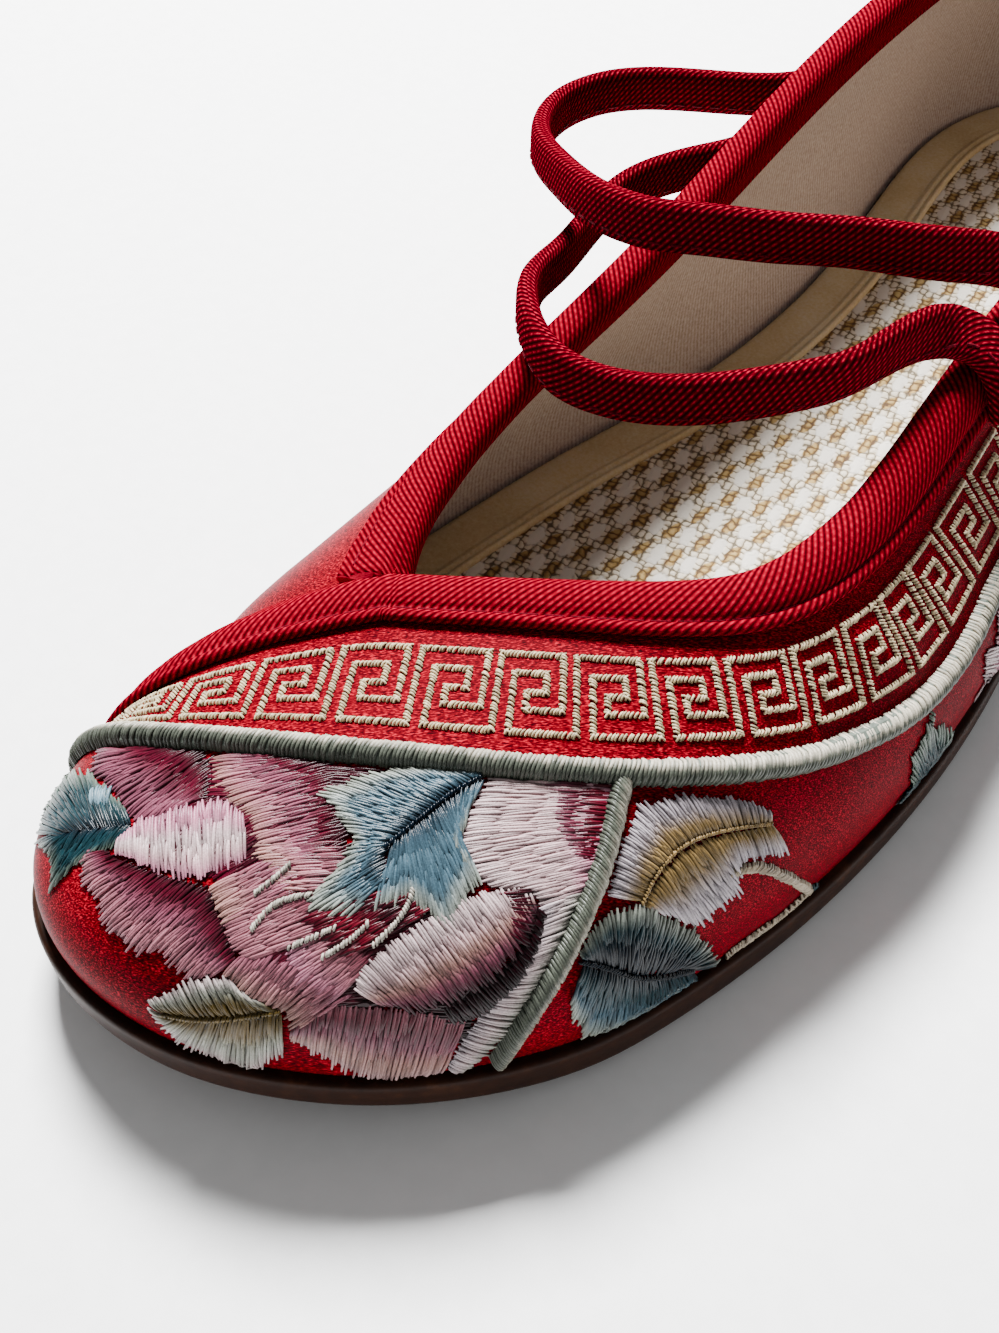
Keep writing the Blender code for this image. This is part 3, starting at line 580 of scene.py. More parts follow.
def grain_and_sheen_group():
    """Shader group: short raised floats of a satin weave, as relief and as a shade, light on the floats and
    dark between them: painted sheen and painted shade.
    """
    group = bpy.data.node_groups.new("satin_grain_and_sheen", "ShaderNodeTree")
    group.interface.new_socket("Vector", in_out="INPUT", socket_type="NodeSocketVector")
    group.interface.new_socket("Floats per metre", in_out="INPUT", socket_type="NodeSocketFloat")
    group.interface.new_socket("Relief", in_out="OUTPUT", socket_type="NodeSocketFloat")
    group.interface.new_socket("Shade", in_out="OUTPUT", socket_type="NodeSocketFloat")
    ends = group.nodes.new("NodeGroupInput").outputs
    laid = {"Vector": ends[0], "Rotation": (0.0, 0.0, FLOAT_TURN), "Scale": (FLOAT_STRETCH, 1.0, 1.0)}
    turned = add_node(group, "Mapping", laid, vector_type="TEXTURE")
    floats = noise(group, turned.outputs[0], ends[1], 2.0)
    cloudy = noise(group, ends[0], CLOUDS_PER_METRE, 2.0)
    clouds = calc(group, "MULTIPLY", cloudy, CLOUD_SHARE)
    shade = calc(group, "MULTIPLY_ADD", floats, 1.0 - CLOUD_SHARE, clouds)
    out = group.nodes.new("NodeGroupOutput")
    group.links.new(floats, out.inputs["Relief"])
    group.links.new(shade, out.inputs["Shade"])
    return group


GRAIN_AND_SHEEN = grain_and_sheen_group()


def grain_and_sheen(tree, vector, floats):
    """Relief output of the satin grain, and its shade output that carries the painted sheen and painted
    shade.
    """
    made = tree.nodes.new("ShaderNodeGroup")
    made.node_tree = GRAIN_AND_SHEEN
    tree.links.new(vector, made.inputs["Vector"])
    made.inputs["Floats per metre"].default_value = floats
    return made.outputs["Relief"], made.outputs["Shade"]


satin, tree, shader, place = new_material("red_satin", 0.42)
relief, shade = grain_and_sheen(tree, place, FLOATS_PER_METRE)
# Dark red between the floats to pinkish red on the raised ones: the weave's grain, with painted shade between
# the floats and painted sheen on the brightest.
colours = [(0.32, dye(60, 0, 17)), (0.45, dye(112, 0, 32)), (0.55, dye(150, 0, 41)), (0.68, dye(226, 42, 78))]
tree.links.new(ramp(tree, shade, colours), shader.inputs["Base Color"])
shader.inputs["Specular IOR Level"].default_value = SATIN_SHEEN
shader.inputs["Specular Tint"].default_value = (1.0, 0.06, 0.10, 1.0)
bump(tree, shader, relief, 0.3, 0.06)

lining, tree, shader, place = new_material("taupe_lining", 0.85)
cloth_uv = add_node(tree, "UVMap", uv_map="cloth").outputs["UV"]
lining_along = add_node(tree, "SeparateXYZ", {"Vector": cloth_uv}).outputs["X"]
ribs = wave(tree, lining_along, LINING_RIBS_PER_MM)
fuzz = noise(tree, place, 2200.0, 3.0, 0.6)
tone = calc(tree, "ADD", calc(tree, "MULTIPLY_ADD", ribs, 0.10, 0.1), calc(tree, "MULTIPLY", fuzz, 0.8))
colours = [(0.3, dye(190, 174, 164)), (0.5, dye(216, 202, 192)), (0.7, dye(234, 222, 214))]
tree.links.new(ramp(tree, tone, colours), shader.inputs["Base Color"])
bump(tree, shader, tone, 0.5, 0.15)

station_grid = np.arange(UPPER_COLUMNS) / COLUMNS_PER_STATION
foot_run = run_along(outline(np.arange(UPPER_COLUMNS + 1) / COLUMNS_PER_STATION))
outer_rows = []
inner_rows = []
for k in range(UPPER_ROWS + 1):
    level = k / UPPER_ROWS
    face = shell(station_grid, level)
    out = shell_out(station_grid, level)
    out[0] = unit(out[0] + shell_out(COUNT, level)[0])
    face = face - crease_depth(face)[:, None] * out
    outer_rows.append(face)
    inner_rows.append(face - WALL * out)
points = np.concatenate(outer_rows + inner_rows)
inner_start = (UPPER_ROWS + 1) * UPPER_COLUMNS
faces, uv, inside = [], [], []
for k in range(UPPER_ROWS):
    a, b = k * UPPER_COLUMNS, (k + 1) * UPPER_COLUMNS
    faces += ring_faces(UPPER_COLUMNS, a, b)
    faces += [f[::-1] for f in ring_faces(UPPER_COLUMNS, inner_start + a, inner_start + b)]
    corners = ring_uv(foot_run, k, k + 1)
    uv += [corners, corners.reshape(-1, 4, 2)[:, ::-1].reshape(-1, 2)]
    inside += [0] * UPPER_COLUMNS + [1] * UPPER_COLUMNS
rim = UPPER_ROWS * UPPER_COLUMNS
faces += [f[::-1] for f in ring_faces(UPPER_COLUMNS, 0, inner_start)]
faces += ring_faces(UPPER_COLUMNS, rim, inner_start + rim)
uv += [ring_uv(foot_run, 0, 1), ring_uv(foot_run, 0, 1)]
inside += [0] * (2 * UPPER_COLUMNS)
upper = new_piece("satin_upper", points, faces, [satin, lining], np.concatenate(uv), inside)
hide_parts("upper")
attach(upper, "root")

shell_faces = []
for k in range(UPPER_ROWS):
    shell_faces += ring_faces(UPPER_COLUMNS, k * UPPER_COLUMNS, (k + 1) * UPPER_COLUMNS)
shell_tree = BVHTree.FromPolygons([Vector(p) for p in points[:inner_start]], shell_faces)


def on_shell(point):
    """Nearest place on the satin and the direction straight out of it."""
    near, out, _, _ = shell_tree.find_nearest(Vector(point))
    return np.array(near), np.array(out)


SILHOUETTE_STEPS = 8
SILHOUETTE_STEP = 3.0
TOE_PIXEL = np.array([450.0, 880.0])


def on_photo(pixel):
    """Place on the satin under a photo pixel, or the nearest one inside the toe's rim, and the way out."""
    pixel = np.array(pixel, float)
    for _ in range(SILHOUETTE_STEPS):
        hit, out, _, _ = shell_tree.ray_cast(Vector(CAMERA_EYE), Vector(sight(pixel)))
        if hit is not None:
            return np.array(hit), np.array(out)
        pixel += SILHOUETTE_STEP * unit(TOE_PIXEL - pixel)
    return None


# Bindings: red twill tape folded over the free edges and sewn through near its lower side, where a flat
# lip stands off the satin. The vamp's tape starts at the sole on the inner side, and the quarter's is
# tucked under it.
TapeSpot = namedtuple("TapeSpot", "out down")
TAPE_SECTION = [
    TapeSpot(0.35, 6.0),
    TapeSpot(0.95, 6.15),
    TapeSpot(1.40, 5.85),
    TapeSpot(1.55, 5.30),
    TapeSpot(1.30, 4.75),
    TapeSpot(1.00, 4.45),
    TapeSpot(1.40, 4.10),
    TapeSpot(1.75, 3.40),
    TapeSpot(1.95, 2.40),
    TapeSpot(1.95, 1.30),
    TapeSpot(1.75, 0.30),
    TapeSpot(1.30, -0.60),
    TapeSpot(0.60, -1.25),
    TapeSpot(-0.40, -1.60),
    TapeSpot(-1.50, -1.60),
    TapeSpot(-2.50, -1.15),
    TapeSpot(-3.20, -0.30),
    TapeSpot(-3.55, 0.80),
    TapeSpot(-3.60, 2.20),
    TapeSpot(-3.50, 3.60),
    TapeSpot(-3.25, 4.20),
    TapeSpot(-3.45, 4.60),
    TapeSpot(-3.30, 5.00),
    TapeSpot(-2.50, 5.10),
    TapeSpot(-2.35, 2.50),
    TapeSpot(-2.30, -0.20),
    TapeSpot(-1.00, -0.40),
    TapeSpot(0.20, -0.20),
    TapeSpot(0.30, 3.00),
]
SEAM_SPOT = 5
TAPE_STEP = 1.0
RIB_PITCH = 0.72
TUCK_SHORT = 0.06
TUCK_LENGTH = 9.0
TUCK_DEPTH = 2.4
RIB_SLANT = radians(45.0)
RIB_STAGGER = 0.37
BEADS_PER_PITCH = 0.6
BEAD_DEPTH = 0.12
TAPE_FINE = 400
TAPE_FOOT = 0.03
BACK_GAP = 0.014
FLAT_STAND = 0.3
FLAT_TOP = -0.9


def even(polyline, step):
    """Points along a polyline at even distances, both ends kept."""
    run = run_along(polyline)
    spots = np.linspace(0, run[-1], max(2, int(round(run[-1] / step)) + 1))
    return np.column_stack([np.interp(spots, run, polyline[:, i]) for i in range(polyline.shape[1])])


def headings(path):
    return unit(np.gradient(path, axis=0))


def smooth_outs(path, rounds=6):
    """Directions out of the satin along a path, evened over neighbours."""
    outs = np.array([on_shell(p)[1] for p in path])
    for _ in range(rounds):
        padded = np.concatenate([outs[:1], outs, outs[-1:]])
        outs = unit(padded[:-2] + 2.0 * padded[1:-1] + padded[2:])
    return outs


def tube(name, rings, material):
    """Closed body through equal rings, capped, with a UV map in millimetres along and around it."""
    rings = np.asarray(rings)
    m, n = rings.shape[:2]
    middle = rings.mean(axis=1)
    along = run_along(middle)
    typical = rings[m // 2]
    around = run_along(np.concatenate([typical, typical[:1]]))
    i, j = [x.ravel() for x in np.meshgrid(np.arange(m - 1), np.arange(n), indexing="ij")]
    k = (j + 1) % n
    quads = np.stack([i * n + j, i * n + k, (i + 1) * n + k, (i + 1) * n + j], axis=1)
    corners = np.stack([along[i], around[j], along[i], around[j + 1],
                        along[i + 1], around[j + 1], along[i + 1], around[j]], axis=1).reshape(-1, 4, 2)
    points = rings.reshape(-1, 3)
    a, b, c, d = [points[quads[:, q]] for q in range(4)]
    volume = np.sum(a * (np.cross(b, c) + np.cross(c, d)))
    caps = [list(range(n))[::-1], list(range((m - 1) * n, m * n))]
    if volume < 0.0:
        quads, corners = quads[:, ::-1], corners[:, ::-1]
        caps = [cap[::-1] for cap in caps]
    cap_uv = np.zeros((2 * n, 2))
    uv = np.concatenate([corners.reshape(-1, 2), cap_uv])
    return new_piece(name, points, quads.tolist() + caps, [material], uv)


def tape_rings(path, folded_from):
    """Sections of the tape along a path: flat on the satin before folded_from, then over the edge."""
    rings = []
    for i, (spot, heading, out) in enumerate(zip(path, headings(path), smooth_outs(path))):
        down = unit(np.cross(heading, out))
        ring = []
        for part in TAPE_SECTION:
            stand, drop = part.out, part.down
            if i < folded_from:
                stand, drop = max(stand, FLAT_STAND), max(drop, FLAT_TOP)
            if drop <= 0.0:
                ring.append(spot + out * stand + down * drop)
            else:
                near, near_out = on_shell(spot + down * drop)
                ring.append(near + unit(near_out + out) * stand)
        rings.append(ring)
    return np.array(rings)


def twill_group():
    """Shader group: slanting ribs of a twill, each a row of small beads."""
    group = bpy.data.node_groups.new("twill_ribs", "ShaderNodeTree")
    for socket in ("Along", "Around", "Pitch"):
        group.interface.new_socket(socket, in_out="INPUT", socket_type="NodeSocketFloat")
    group.interface.new_socket("Relief", in_out="OUTPUT", socket_type="NodeSocketFloat")
    along, around, pitch = group.nodes.new("NodeGroupInput").outputs[:3]
    rise, run = sin(RIB_SLANT), cos(RIB_SLANT)
    slanted = calc(group, "MULTIPLY_ADD", along, rise, calc(group, "MULTIPLY", around, -run))
    lengthwise = calc(group, "MULTIPLY_ADD", along, run, calc(group, "MULTIPLY", around, rise))
    rib_count = calc(group, "DIVIDE", slanted, pitch)
    stagger = calc(group, "MULTIPLY", calc(group, "ROUND", rib_count), RIB_STAGGER)
    pitches = calc(group, "DIVIDE", lengthwise, pitch)
    bead_count = calc(group, "MULTIPLY_ADD", pitches, BEADS_PER_PITCH, stagger)
    rib = calc(group, "MULTIPLY_ADD", wave(group, rib_count, 1.0), 0.5, 0.5)
    bead = calc(group, "MULTIPLY_ADD", wave(group, bead_count, 1.0), BEAD_DEPTH, 1.0 - BEAD_DEPTH)
    relief = calc(group, "MULTIPLY", calc(group, "POWER", rib, 0.7), bead)
    out = group.nodes.new("NodeGroupOutput")
    group.links.new(relief, out.inputs["Relief"])
    return group


TWILL = twill_group()


def twill_material(name, pitch, colours):
    """Red twill with its ribs following the tape's own UV map, its colour painted dark in the grooves and
    light on the rib tops as painted shade and painted highlight.
    """
    material, tree, shader, place = new_material(name, 0.55)
    cloth_uv = add_node(tree, "UVMap", uv_map="cloth").outputs["UV"]
    split = add_node(tree, "SeparateXYZ", {"Vector": cloth_uv})
    ribs = tree.nodes.new("ShaderNodeGroup")
    ribs.node_tree = TWILL
    tree.links.new(split.outputs["X"], ribs.inputs["Along"])
    tree.links.new(split.outputs["Y"], ribs.inputs["Around"])
    ribs.inputs["Pitch"].default_value = pitch
    relief = ribs.outputs["Relief"]
    fuzz = noise(tree, place, 2600.0, 3.0, 0.7)
    # The rib relief also sets the colour: painted shade in the grooves and painted highlight on the rib tops,
    # with fuzz at random.
    tone = calc(tree, "MULTIPLY_ADD", relief, 0.6, calc(tree, "MULTIPLY", fuzz, 0.4))
    tree.links.new(ramp(tree, tone, colours), shader.inputs["Base Color"])
    shader.inputs["Specular IOR Level"].default_value = 0.0
    bump(tree, shader, tone, 0.7, 0.24)
    return material


# Darkest stop: painted shade in the grooves. Pinkish last stop: painted highlight on the rib tops.
tape_twill = twill_material("tape_twill", RIB_PITCH, [
    (0.15, dye(64, 0, 18)), (0.4, dye(120, 0, 36)), (0.65, dye(160, 0, 50)), (0.85, dye(212, 34, 80))])
fine = np.linspace(0.0, 1.0, TAPE_FINE)
inner_side = even(shell(np.zeros(TAPE_FINE), TAPE_FOOT + (1.0 - TAPE_FOOT) * fine), TAPE_STEP)
free_edge = even(topline((HEEL - BACK_GAP) * fine), TAPE_STEP)
vamp_edge = np.concatenate([inner_side[:-1], free_edge])
collar_edge = even(topline(HEEL + BACK_GAP + (COUNT - HEEL - TUCK_SHORT) * fine), TAPE_STEP)
tuck = np.clip(1.0 - np.arange(len(collar_edge))[::-1] * TAPE_STEP / TUCK_LENGTH, 0.0, 1.0)
collar_edge[:, 2] -= TUCK_DEPTH * tuck * tuck * (3.0 - 2.0 * tuck)
vamp_rings = tape_rings(vamp_edge, len(inner_side) + 1)
collar_rings = tape_rings(collar_edge, 0)
vamp_tape = tube("vamp_tape", vamp_rings, tape_twill)
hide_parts("vamp_binding")
quarter_tape = tube("quarter_tape", collar_rings, tape_twill)
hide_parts("quarter_binding")
for tape in (vamp_tape, quarter_tape):
    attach(tape, "root")

# Binding stitches: one row of red cotton thread along the groove of each tape, sewn through all its layers
# and pulled down into the twill.
STITCH_LENGTH = 2.6
STITCH_SPACE = 0.7
SEWING_RADIUS = 0.2
SEWING_STEP = 0.25
SILK_SHEEN = 0.17
COTTON_SHEEN = 0.05
Thread = namedtuple("Thread", "points radius colour")


def sewing_tree():
    """Geometry nodes that sweep a round thread along every line of a mesh of loose edges."""
    group = bpy.data.node_groups.new("sewing", "GeometryNodeTree")
    group.interface.new_socket("Lines", in_out="INPUT", socket_type="NodeSocketGeometry")
    group.interface.new_socket("Sides", in_out="INPUT", socket_type="NodeSocketInt")
    group.interface.new_socket("Thread", in_out="INPUT", socket_type="NodeSocketMaterial")
    group.interface.new_socket("Stitches", in_out="OUTPUT", socket_type="NodeSocketGeometry")
    nodes, link = group.nodes, group.links.new
    ends = nodes.new("NodeGroupInput").outputs
    curves = nodes.new("GeometryNodeMeshToCurve")
    link(ends["Lines"], curves.inputs["Mesh"])
    thickness = nodes.new("GeometryNodeInputNamedAttribute")
    thickness.data_type = "FLOAT"
    thickness.inputs["Name"].default_value = "thickness"
    section = nodes.new("GeometryNodeCurvePrimitiveCircle")
    section.inputs["Radius"].default_value = 1.0
    link(ends["Sides"], section.inputs["Resolution"])
    swept = nodes.new("GeometryNodeCurveToMesh")
    swept.inputs["Fill Caps"].default_value = True
    link(curves.outputs["Curve"], swept.inputs["Curve"])
    link(thickness.outputs["Attribute"], swept.inputs["Scale"])
    link(section.outputs["Curve"], swept.inputs["Profile Curve"])
    smooth = nodes.new("GeometryNodeSetShadeSmooth")
    link(swept.outputs["Mesh"], smooth.inputs["Geometry"])
    real = nodes.new("GeometryNodeRealizeInstances")
    link(smooth.outputs["Geometry"], real.inputs["Geometry"])
    dyed = nodes.new("GeometryNodeSetMaterial")
    link(real.outputs["Geometry"], dyed.inputs["Geometry"])
    link(ends["Thread"], dyed.inputs["Material"])
    link(dyed.outputs["Geometry"], nodes.new("NodeGroupOutput").inputs["Stitches"])
    return group


SEWING = sewing_tree()


def sewn(name, threads, material, sides=5):
    """One piece of many threads, each with its own thickness and dye."""
    sizes = [len(t.points) for t in threads]
    points = (np.concatenate([t.points for t in threads]) + TOE_TIP) * MM
    starts = np.concatenate([[0], np.cumsum(sizes)])
    edges = np.concatenate([np.stack([np.arange(s, e - 1), np.arange(s + 1, e)], axis=1)
                            for s, e in zip(starts[:-1], starts[1:])])
    mesh = bpy.data.meshes.new(name)
    mesh.vertices.add(len(points))
    mesh.vertices.foreach_set("co", points.ravel())
    mesh.edges.add(len(edges))
    mesh.edges.foreach_set("vertices", edges.astype(np.int32).ravel())
    radius = np.concatenate([np.broadcast_to(t.radius, n) for t, n in zip(threads, sizes)]) * MM
    mesh.attributes.new("thickness", "FLOAT", "POINT").data.foreach_set("value", radius)
    colour = np.concatenate([np.broadcast_to(t.colour, (n, 4)) for t, n in zip(threads, sizes)])
    mesh.attributes.new("dye", "FLOAT_COLOR", "POINT").data.foreach_set("color", colour.ravel())
    obj = bpy.data.objects.new(name, mesh)
    bpy.context.scene.collection.objects.link(obj)
    tool = obj.modifiers.new("sewing", "NODES")
    tool.node_group = SEWING
    names = {item.name: item.identifier for item in SEWING.interface.items_tree if item.in_out == "INPUT"}
    tool[names["Sides"]] = sides
    tool[names["Thread"]] = material
    result = bpy.data.meshes.new_from_object(obj.evaluated_get(bpy.context.evaluated_depsgraph_get()))
    obj.modifiers.remove(tool)
    obj.data = result
    bpy.data.meshes.remove(mesh)
    result.name = name
    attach(obj, "root")
    return obj


thread_silk, tree, shader, place = new_material("dyed_thread", 0.3)
dyed = add_node(tree, "Attribute", attribute_name="dye").outputs["Color"]
fibres = noise(tree, place, 5200.0, 2.0)
light = ramp(tree, fibres, [(0.3, (0.62, 0.62, 0.62, 1)), (0.7, (1, 1, 1, 1))])
mixed = add_node(tree, "Mix", {0: 1.0, 6: dyed, 7: light}, data_type="RGBA", blend_type="MULTIPLY")
tree.links.new(mixed.outputs[2], shader.inputs["Base Color"])
shader.inputs["Specular IOR Level"].default_value = SILK_SHEEN
bump(tree, shader, fibres, 0.4, 0.06)

sewing_cotton, tree, shader, place = new_material("sewing_cotton", 0.8)
twist = noise(tree, place, 4000.0, 2.0)
colours = [(0.3, dye(76, 0, 28)), (0.7, dye(150, 0, 54))]
tree.links.new(ramp(tree, twist, colours), shader.inputs["Base Color"])
shader.inputs["Specular IOR Level"].default_value = COTTON_SHEEN
bump(tree, shader, twist, 0.4, 0.06)


def running_stitch(path, colour, length=STITCH_LENGTH, space=STITCH_SPACE, radius=SEWING_RADIUS):
    """Stitches with spaces between them along a path."""
    fine_path = even(path, SEWING_STEP)
    per, gap = int(length / SEWING_STEP), int(space / SEWING_STEP)
    return [Thread(fine_path[i:i + per:3], radius, colour)
            for i in range(0, len(fine_path) - per, per + gap)]


TAPE_THREAD = dye(120, 0, 20)
vamp_row = running_stitch(vamp_rings[:, SEAM_SPOT], TAPE_THREAD)
sewn("vamp_tape_stitches", vamp_row, sewing_cotton)
collar_row = running_stitch(collar_rings[:, SEAM_SPOT], TAPE_THREAD)
sewn("quarter_tape_stitches", collar_row, sewing_cotton)

# Back seam: vamp and quarter are joined at the middle of the heel, and the seam is pressed flat and
# topstitched on both sides with the same cotton.
BACK_SEAM_HALF = 0.045
BACK_SEAM_STEPS = 60
BACK_SEAM_LEVELS = np.linspace(0.02, 0.86, BACK_SEAM_STEPS)
BACK_SEAM_LIFT = 0.1
for name, station in (("back_seam_stitches_outer", HEEL - BACK_SEAM_HALF),
                      ("back_seam_stitches_inner", HEEL + BACK_SEAM_HALF)):
    seam_line = shell(np.full(BACK_SEAM_STEPS, station), BACK_SEAM_LEVELS)
    seam_line = seam_line + BACK_SEAM_LIFT * shell_out(station, 0.5)
    sewn(name, running_stitch(seam_line, TAPE_THREAD), sewing_cotton)

# Edging cords: a padding cord laid on the vamp and wrapped across in floss, sage low on the cord and cream
# high on it, round the toe and outer side under the fret band, with a short one down the toe to the sole.
Place = namedtuple("Place", "x y z")
EDGING_PLACES = [
    Place(-38.4, 19.4, 12.2),
    Place(-36.8, 19.6, 18.6),
    Place(-31.8, 21.0, 23.0),
    Place(-24.5, 23.4, 27.5),
    Place(-18.6, 26.0, 29.2),
    Place(-8.1, 31.3, 31.1),
    Place(1.6, 36.8, 32.0),
    Place(11.0, 42.4, 32.4),
    Place(19.6, 48.6, 32.1),
    Place(27.4, 56.3, 30.7),
    Place(34.0, 67.2, 27.0),
    Place(37.8, 77.6, 24.2),
    Place(39.5, 87.3, 22.7),
    Place(39.6, 97.6, 22.7),
    Place(38.3, 110.0, 24.6),
    Place(36.3, 132.0, 27.6),
    Place(33.4, 158.0, 31.2),
    Place(30.6, 184.0, 34.6),
    Place(28.0, 208.0, 37.4),
    Place(22.0, 232.0, 40.2),
    Place(10.6, 246.6, 42.0),
    Place(0.4, 250.0, 42.6),
]
DIVIDER_PLACES = [
    Place(22.9, 47.2, 30.6),
    Place(25.4, 41.1, 27.8),
    Place(26.9, 32.6, 22.5),
    Place(26.4, 26.8, 16.8),
    Place(25.4, 24.0, 11.2),
]
DIVIDER_TOP = Place(21.8, 49.8, 31.3)
CORD_WIDTH = 2.8
CORD_HEIGHT = 1.3
DIVIDER_WIDTH = 2.1
DIVIDER_HEIGHT = 0.95
DIVIDER_PITCH = 0.36
DIVIDER_SLANT = 0.7
DIVIDER_PALE = 0.5
WRAP_PITCH = 0.46
WRAP_SLANT = 0.3
WRAP_FOOT = 0.1
WRAP_RADIUS = 0.24
WRAP_TURNS = np.linspace(-1.0, 1.0, 8)
FLOSS_PALE = dye(248, 240, 222)
FLOSS_SAGE = dye(126, 131, 120)
SEWING_SEED = 11
rng = np.random.default_rng(SEWING_SEED)


def cord_path(places, step):
    """Smooth line through the places, kept on the satin."""
    line = spline(places)(np.linspace(0, len(places) - 1, 12 * len(places)))
    return even(np.array([on_shell(p)[0] for p in line]), step)


def wrapped(path, pale, width, height, slant):
    """Floss wrapped across a cord, leaning by slant, pale on its upper side where pale is above 0."""
    threads = []
    for spot, heading, out in zip(path, headings(path), smooth_outs(path)):
        side = unit(np.cross(out, heading))
        lean = heading * (slant + rng.uniform(-0.15, 0.15))
        half = 0.5 * width + rng.uniform(-0.1, 0.1)
        crown = GAP + height + rng.uniform(0.02, 0.14)
        arc = np.array([spot + (side + lean) * t * half + out * (WRAP_FOOT + crown * (1.0 - t * t) ** 0.5)
                        for t in WRAP_TURNS])
        mix = np.clip(0.1 + 1.8 * WRAP_TURNS + rng.uniform(-0.35, 0.35), 0.0, 1.0)[:, None] * pale
        colour = np.array(FLOSS_SAGE) * (1.0 - mix) + np.array(FLOSS_PALE) * mix
        colour = colour * rng.uniform(0.72, 1.15)
        threads.append(Thread(arc, WRAP_RADIUS * rng.uniform(0.85, 1.1), colour))
    return threads


floss_core, tree, shader, place = new_material("cord_core", 0.7)
tone = noise(tree, place, 1500.0, 3.0)
colours = [(0.3, dye(96, 108, 98)), (0.7, dye(140, 150, 138))]
tree.links.new(ramp(tree, tone, colours), shader.inputs["Base Color"])
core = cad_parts["edging_cord"]
core.data.materials.clear()
core.data.materials.append(floss_core)
edging_path = cord_path(EDGING_PLACES, WRAP_PITCH)
edging_wraps = wrapped(edging_path, 1.0, CORD_WIDTH, CORD_HEIGHT, WRAP_SLANT)
sewn("edging_floss", edging_wraps, thread_silk)
divider_path = cord_path([DIVIDER_TOP] + DIVIDER_PLACES, DIVIDER_PITCH)
divider_wraps = wrapped(divider_path, DIVIDER_PALE, DIVIDER_WIDTH, DIVIDER_HEIGHT, DIVIDER_SLANT)
divider = sewn("divider_floss", divider_wraps, thread_silk)
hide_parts("divider_cord")

# Key fret band: one unbroken line of slanting cream cross stitches, turned in squares between the binding
# and the cord, worked by hand on the satin before it was lasted.
FRET_PITCH = 9.55
FRET_START = 2.75
FRET_LOW = 0.17
FRET_HIGH = 0.80
FRET_STITCH = 0.42
FRET_WIDTH = 0.66
FRET_RADIUS = 0.16
FRET_LIFT = 0.1
FRET_LEAN = 0.6
FRET_LINE_STEPS = np.linspace(0.0, 1.0, 7)
FRET_SIDES = 4
BAND_REACH = 24
BAND_EVENING = 20
DEPTH_EVENING = 12
FretTurn = namedtuple("FretTurn", "along up")
FRET_CELL = [
    FretTurn(0.0, 0.0),
    FretTurn(0.0, 1.0),
    FretTurn(0.83, 1.0),
    FretTurn(0.83, 0.28),
    FretTurn(0.38, 0.28),
    FretTurn(0.38, 0.50),
    FretTurn(0.62, 0.50),
    FretTurn(0.62, 0.75),
    FretTurn(0.20, 0.75),
    FretTurn(0.20, 0.0),
    FretTurn(1.0, 0.0),
]
FRET_CREAM = dye(252, 234, 198)

band_path = cord_path(EDGING_PLACES, 1.0)
band_columns = []
band_depths = []
for spot, heading, out in zip(band_path, headings(band_path), smooth_outs(band_path, BAND_EVENING)):
    line = [spot]
    toward = unit(np.cross(out, heading))
    depth = float(BAND_REACH)
    for k in range(BAND_REACH):
        near, near_out = on_shell(line[-1] + toward)
        toward = unit(near - line[-1])
        toward = unit(toward - near_out * np.dot(toward, near_out))
        line.append(near)
        left = np.min(np.linalg.norm(vamp_edge - near, axis=1)) - TAPE_SECTION[1].down
        if left < 0.0 and depth == BAND_REACH:
            depth = k + 1 + left
    band_columns.append(line)
    band_depths.append(depth)
band_columns = np.array(band_columns)
band_depths = np.array(band_depths)
for _ in range(DEPTH_EVENING):
    padded = np.concatenate([band_depths[:1], band_depths, band_depths[-1:]])
    band_depths = 0.25 * padded[:-2] + 0.5 * padded[1:-1] + 0.25 * padded[2:]


def on_band(run, up):
    """Place on the band: run in millimetres along the cord, up 0 at the cord and 1 at the binding."""
    column = np.clip(run, 0.0, len(band_columns) - 1.001)
    i = int(column)
    share = column - i
    room = np.interp(column, np.arange(len(band_depths)), band_depths)
    depth = 0.5 * CORD_WIDTH + up * (room - 0.5 * CORD_WIDTH)
    row = min(max(depth, 0.0), BAND_REACH - 0.001)
    k = int(row)
    low = band_columns[i, k] * (1 - share) + band_columns[i + 1, k] * share
    high = band_columns[i, k + 1] * (1 - share) + band_columns[i + 1, k + 1] * share
    return on_shell(low + (high - low) * (row - k))


def cross_stitches(path, width, pitch, radius, colour, lift, lean=FRET_LEAN):
    """Short stitches laid across a line on the satin, a little slanted."""
    path = even(np.asarray(path), pitch)
    threads = []
    for spot, heading in zip(path, headings(path)):
        near, out = on_shell(spot)
        side = unit(np.cross(out, heading))
        reach = 0.5 * width * rng.uniform(0.75, 1.25)
        near = near + heading * rng.uniform(-0.3, 0.3) * pitch
        across = (side + heading * lean) * reach
        top = out * (lift + 1.5 * radius)
        shade = np.array(colour) * rng.uniform(0.55, 1.25)
        low = out * 0.3 * (lift + 0.5 * radius)
        arch = [near - across + low, near - across * 0.45 + top,
                near + across * 0.45 + top, near + across + low]
        threads.append(Thread(np.array(arch), radius, shade))
    return threads


fret = []
cells = int((len(band_path) - FRET_START) / FRET_PITCH)
for cell in range(cells):
    for start, end in zip(FRET_CELL[:-1], FRET_CELL[1:]):
        line = []
        for t in FRET_LINE_STEPS:
            run = FRET_START + (cell + start.along + (end.along - start.along) * t) * FRET_PITCH
            up = FRET_LOW + (start.up + (end.up - start.up) * t) * (FRET_HIGH - FRET_LOW)
            line.append(on_band(run, up)[0])
        fret += cross_stitches(line, FRET_WIDTH, FRET_STITCH, FRET_RADIUS, FRET_CREAM, FRET_LIFT)
sewn("key_fret", fret, thread_silk, FRET_SIDES)
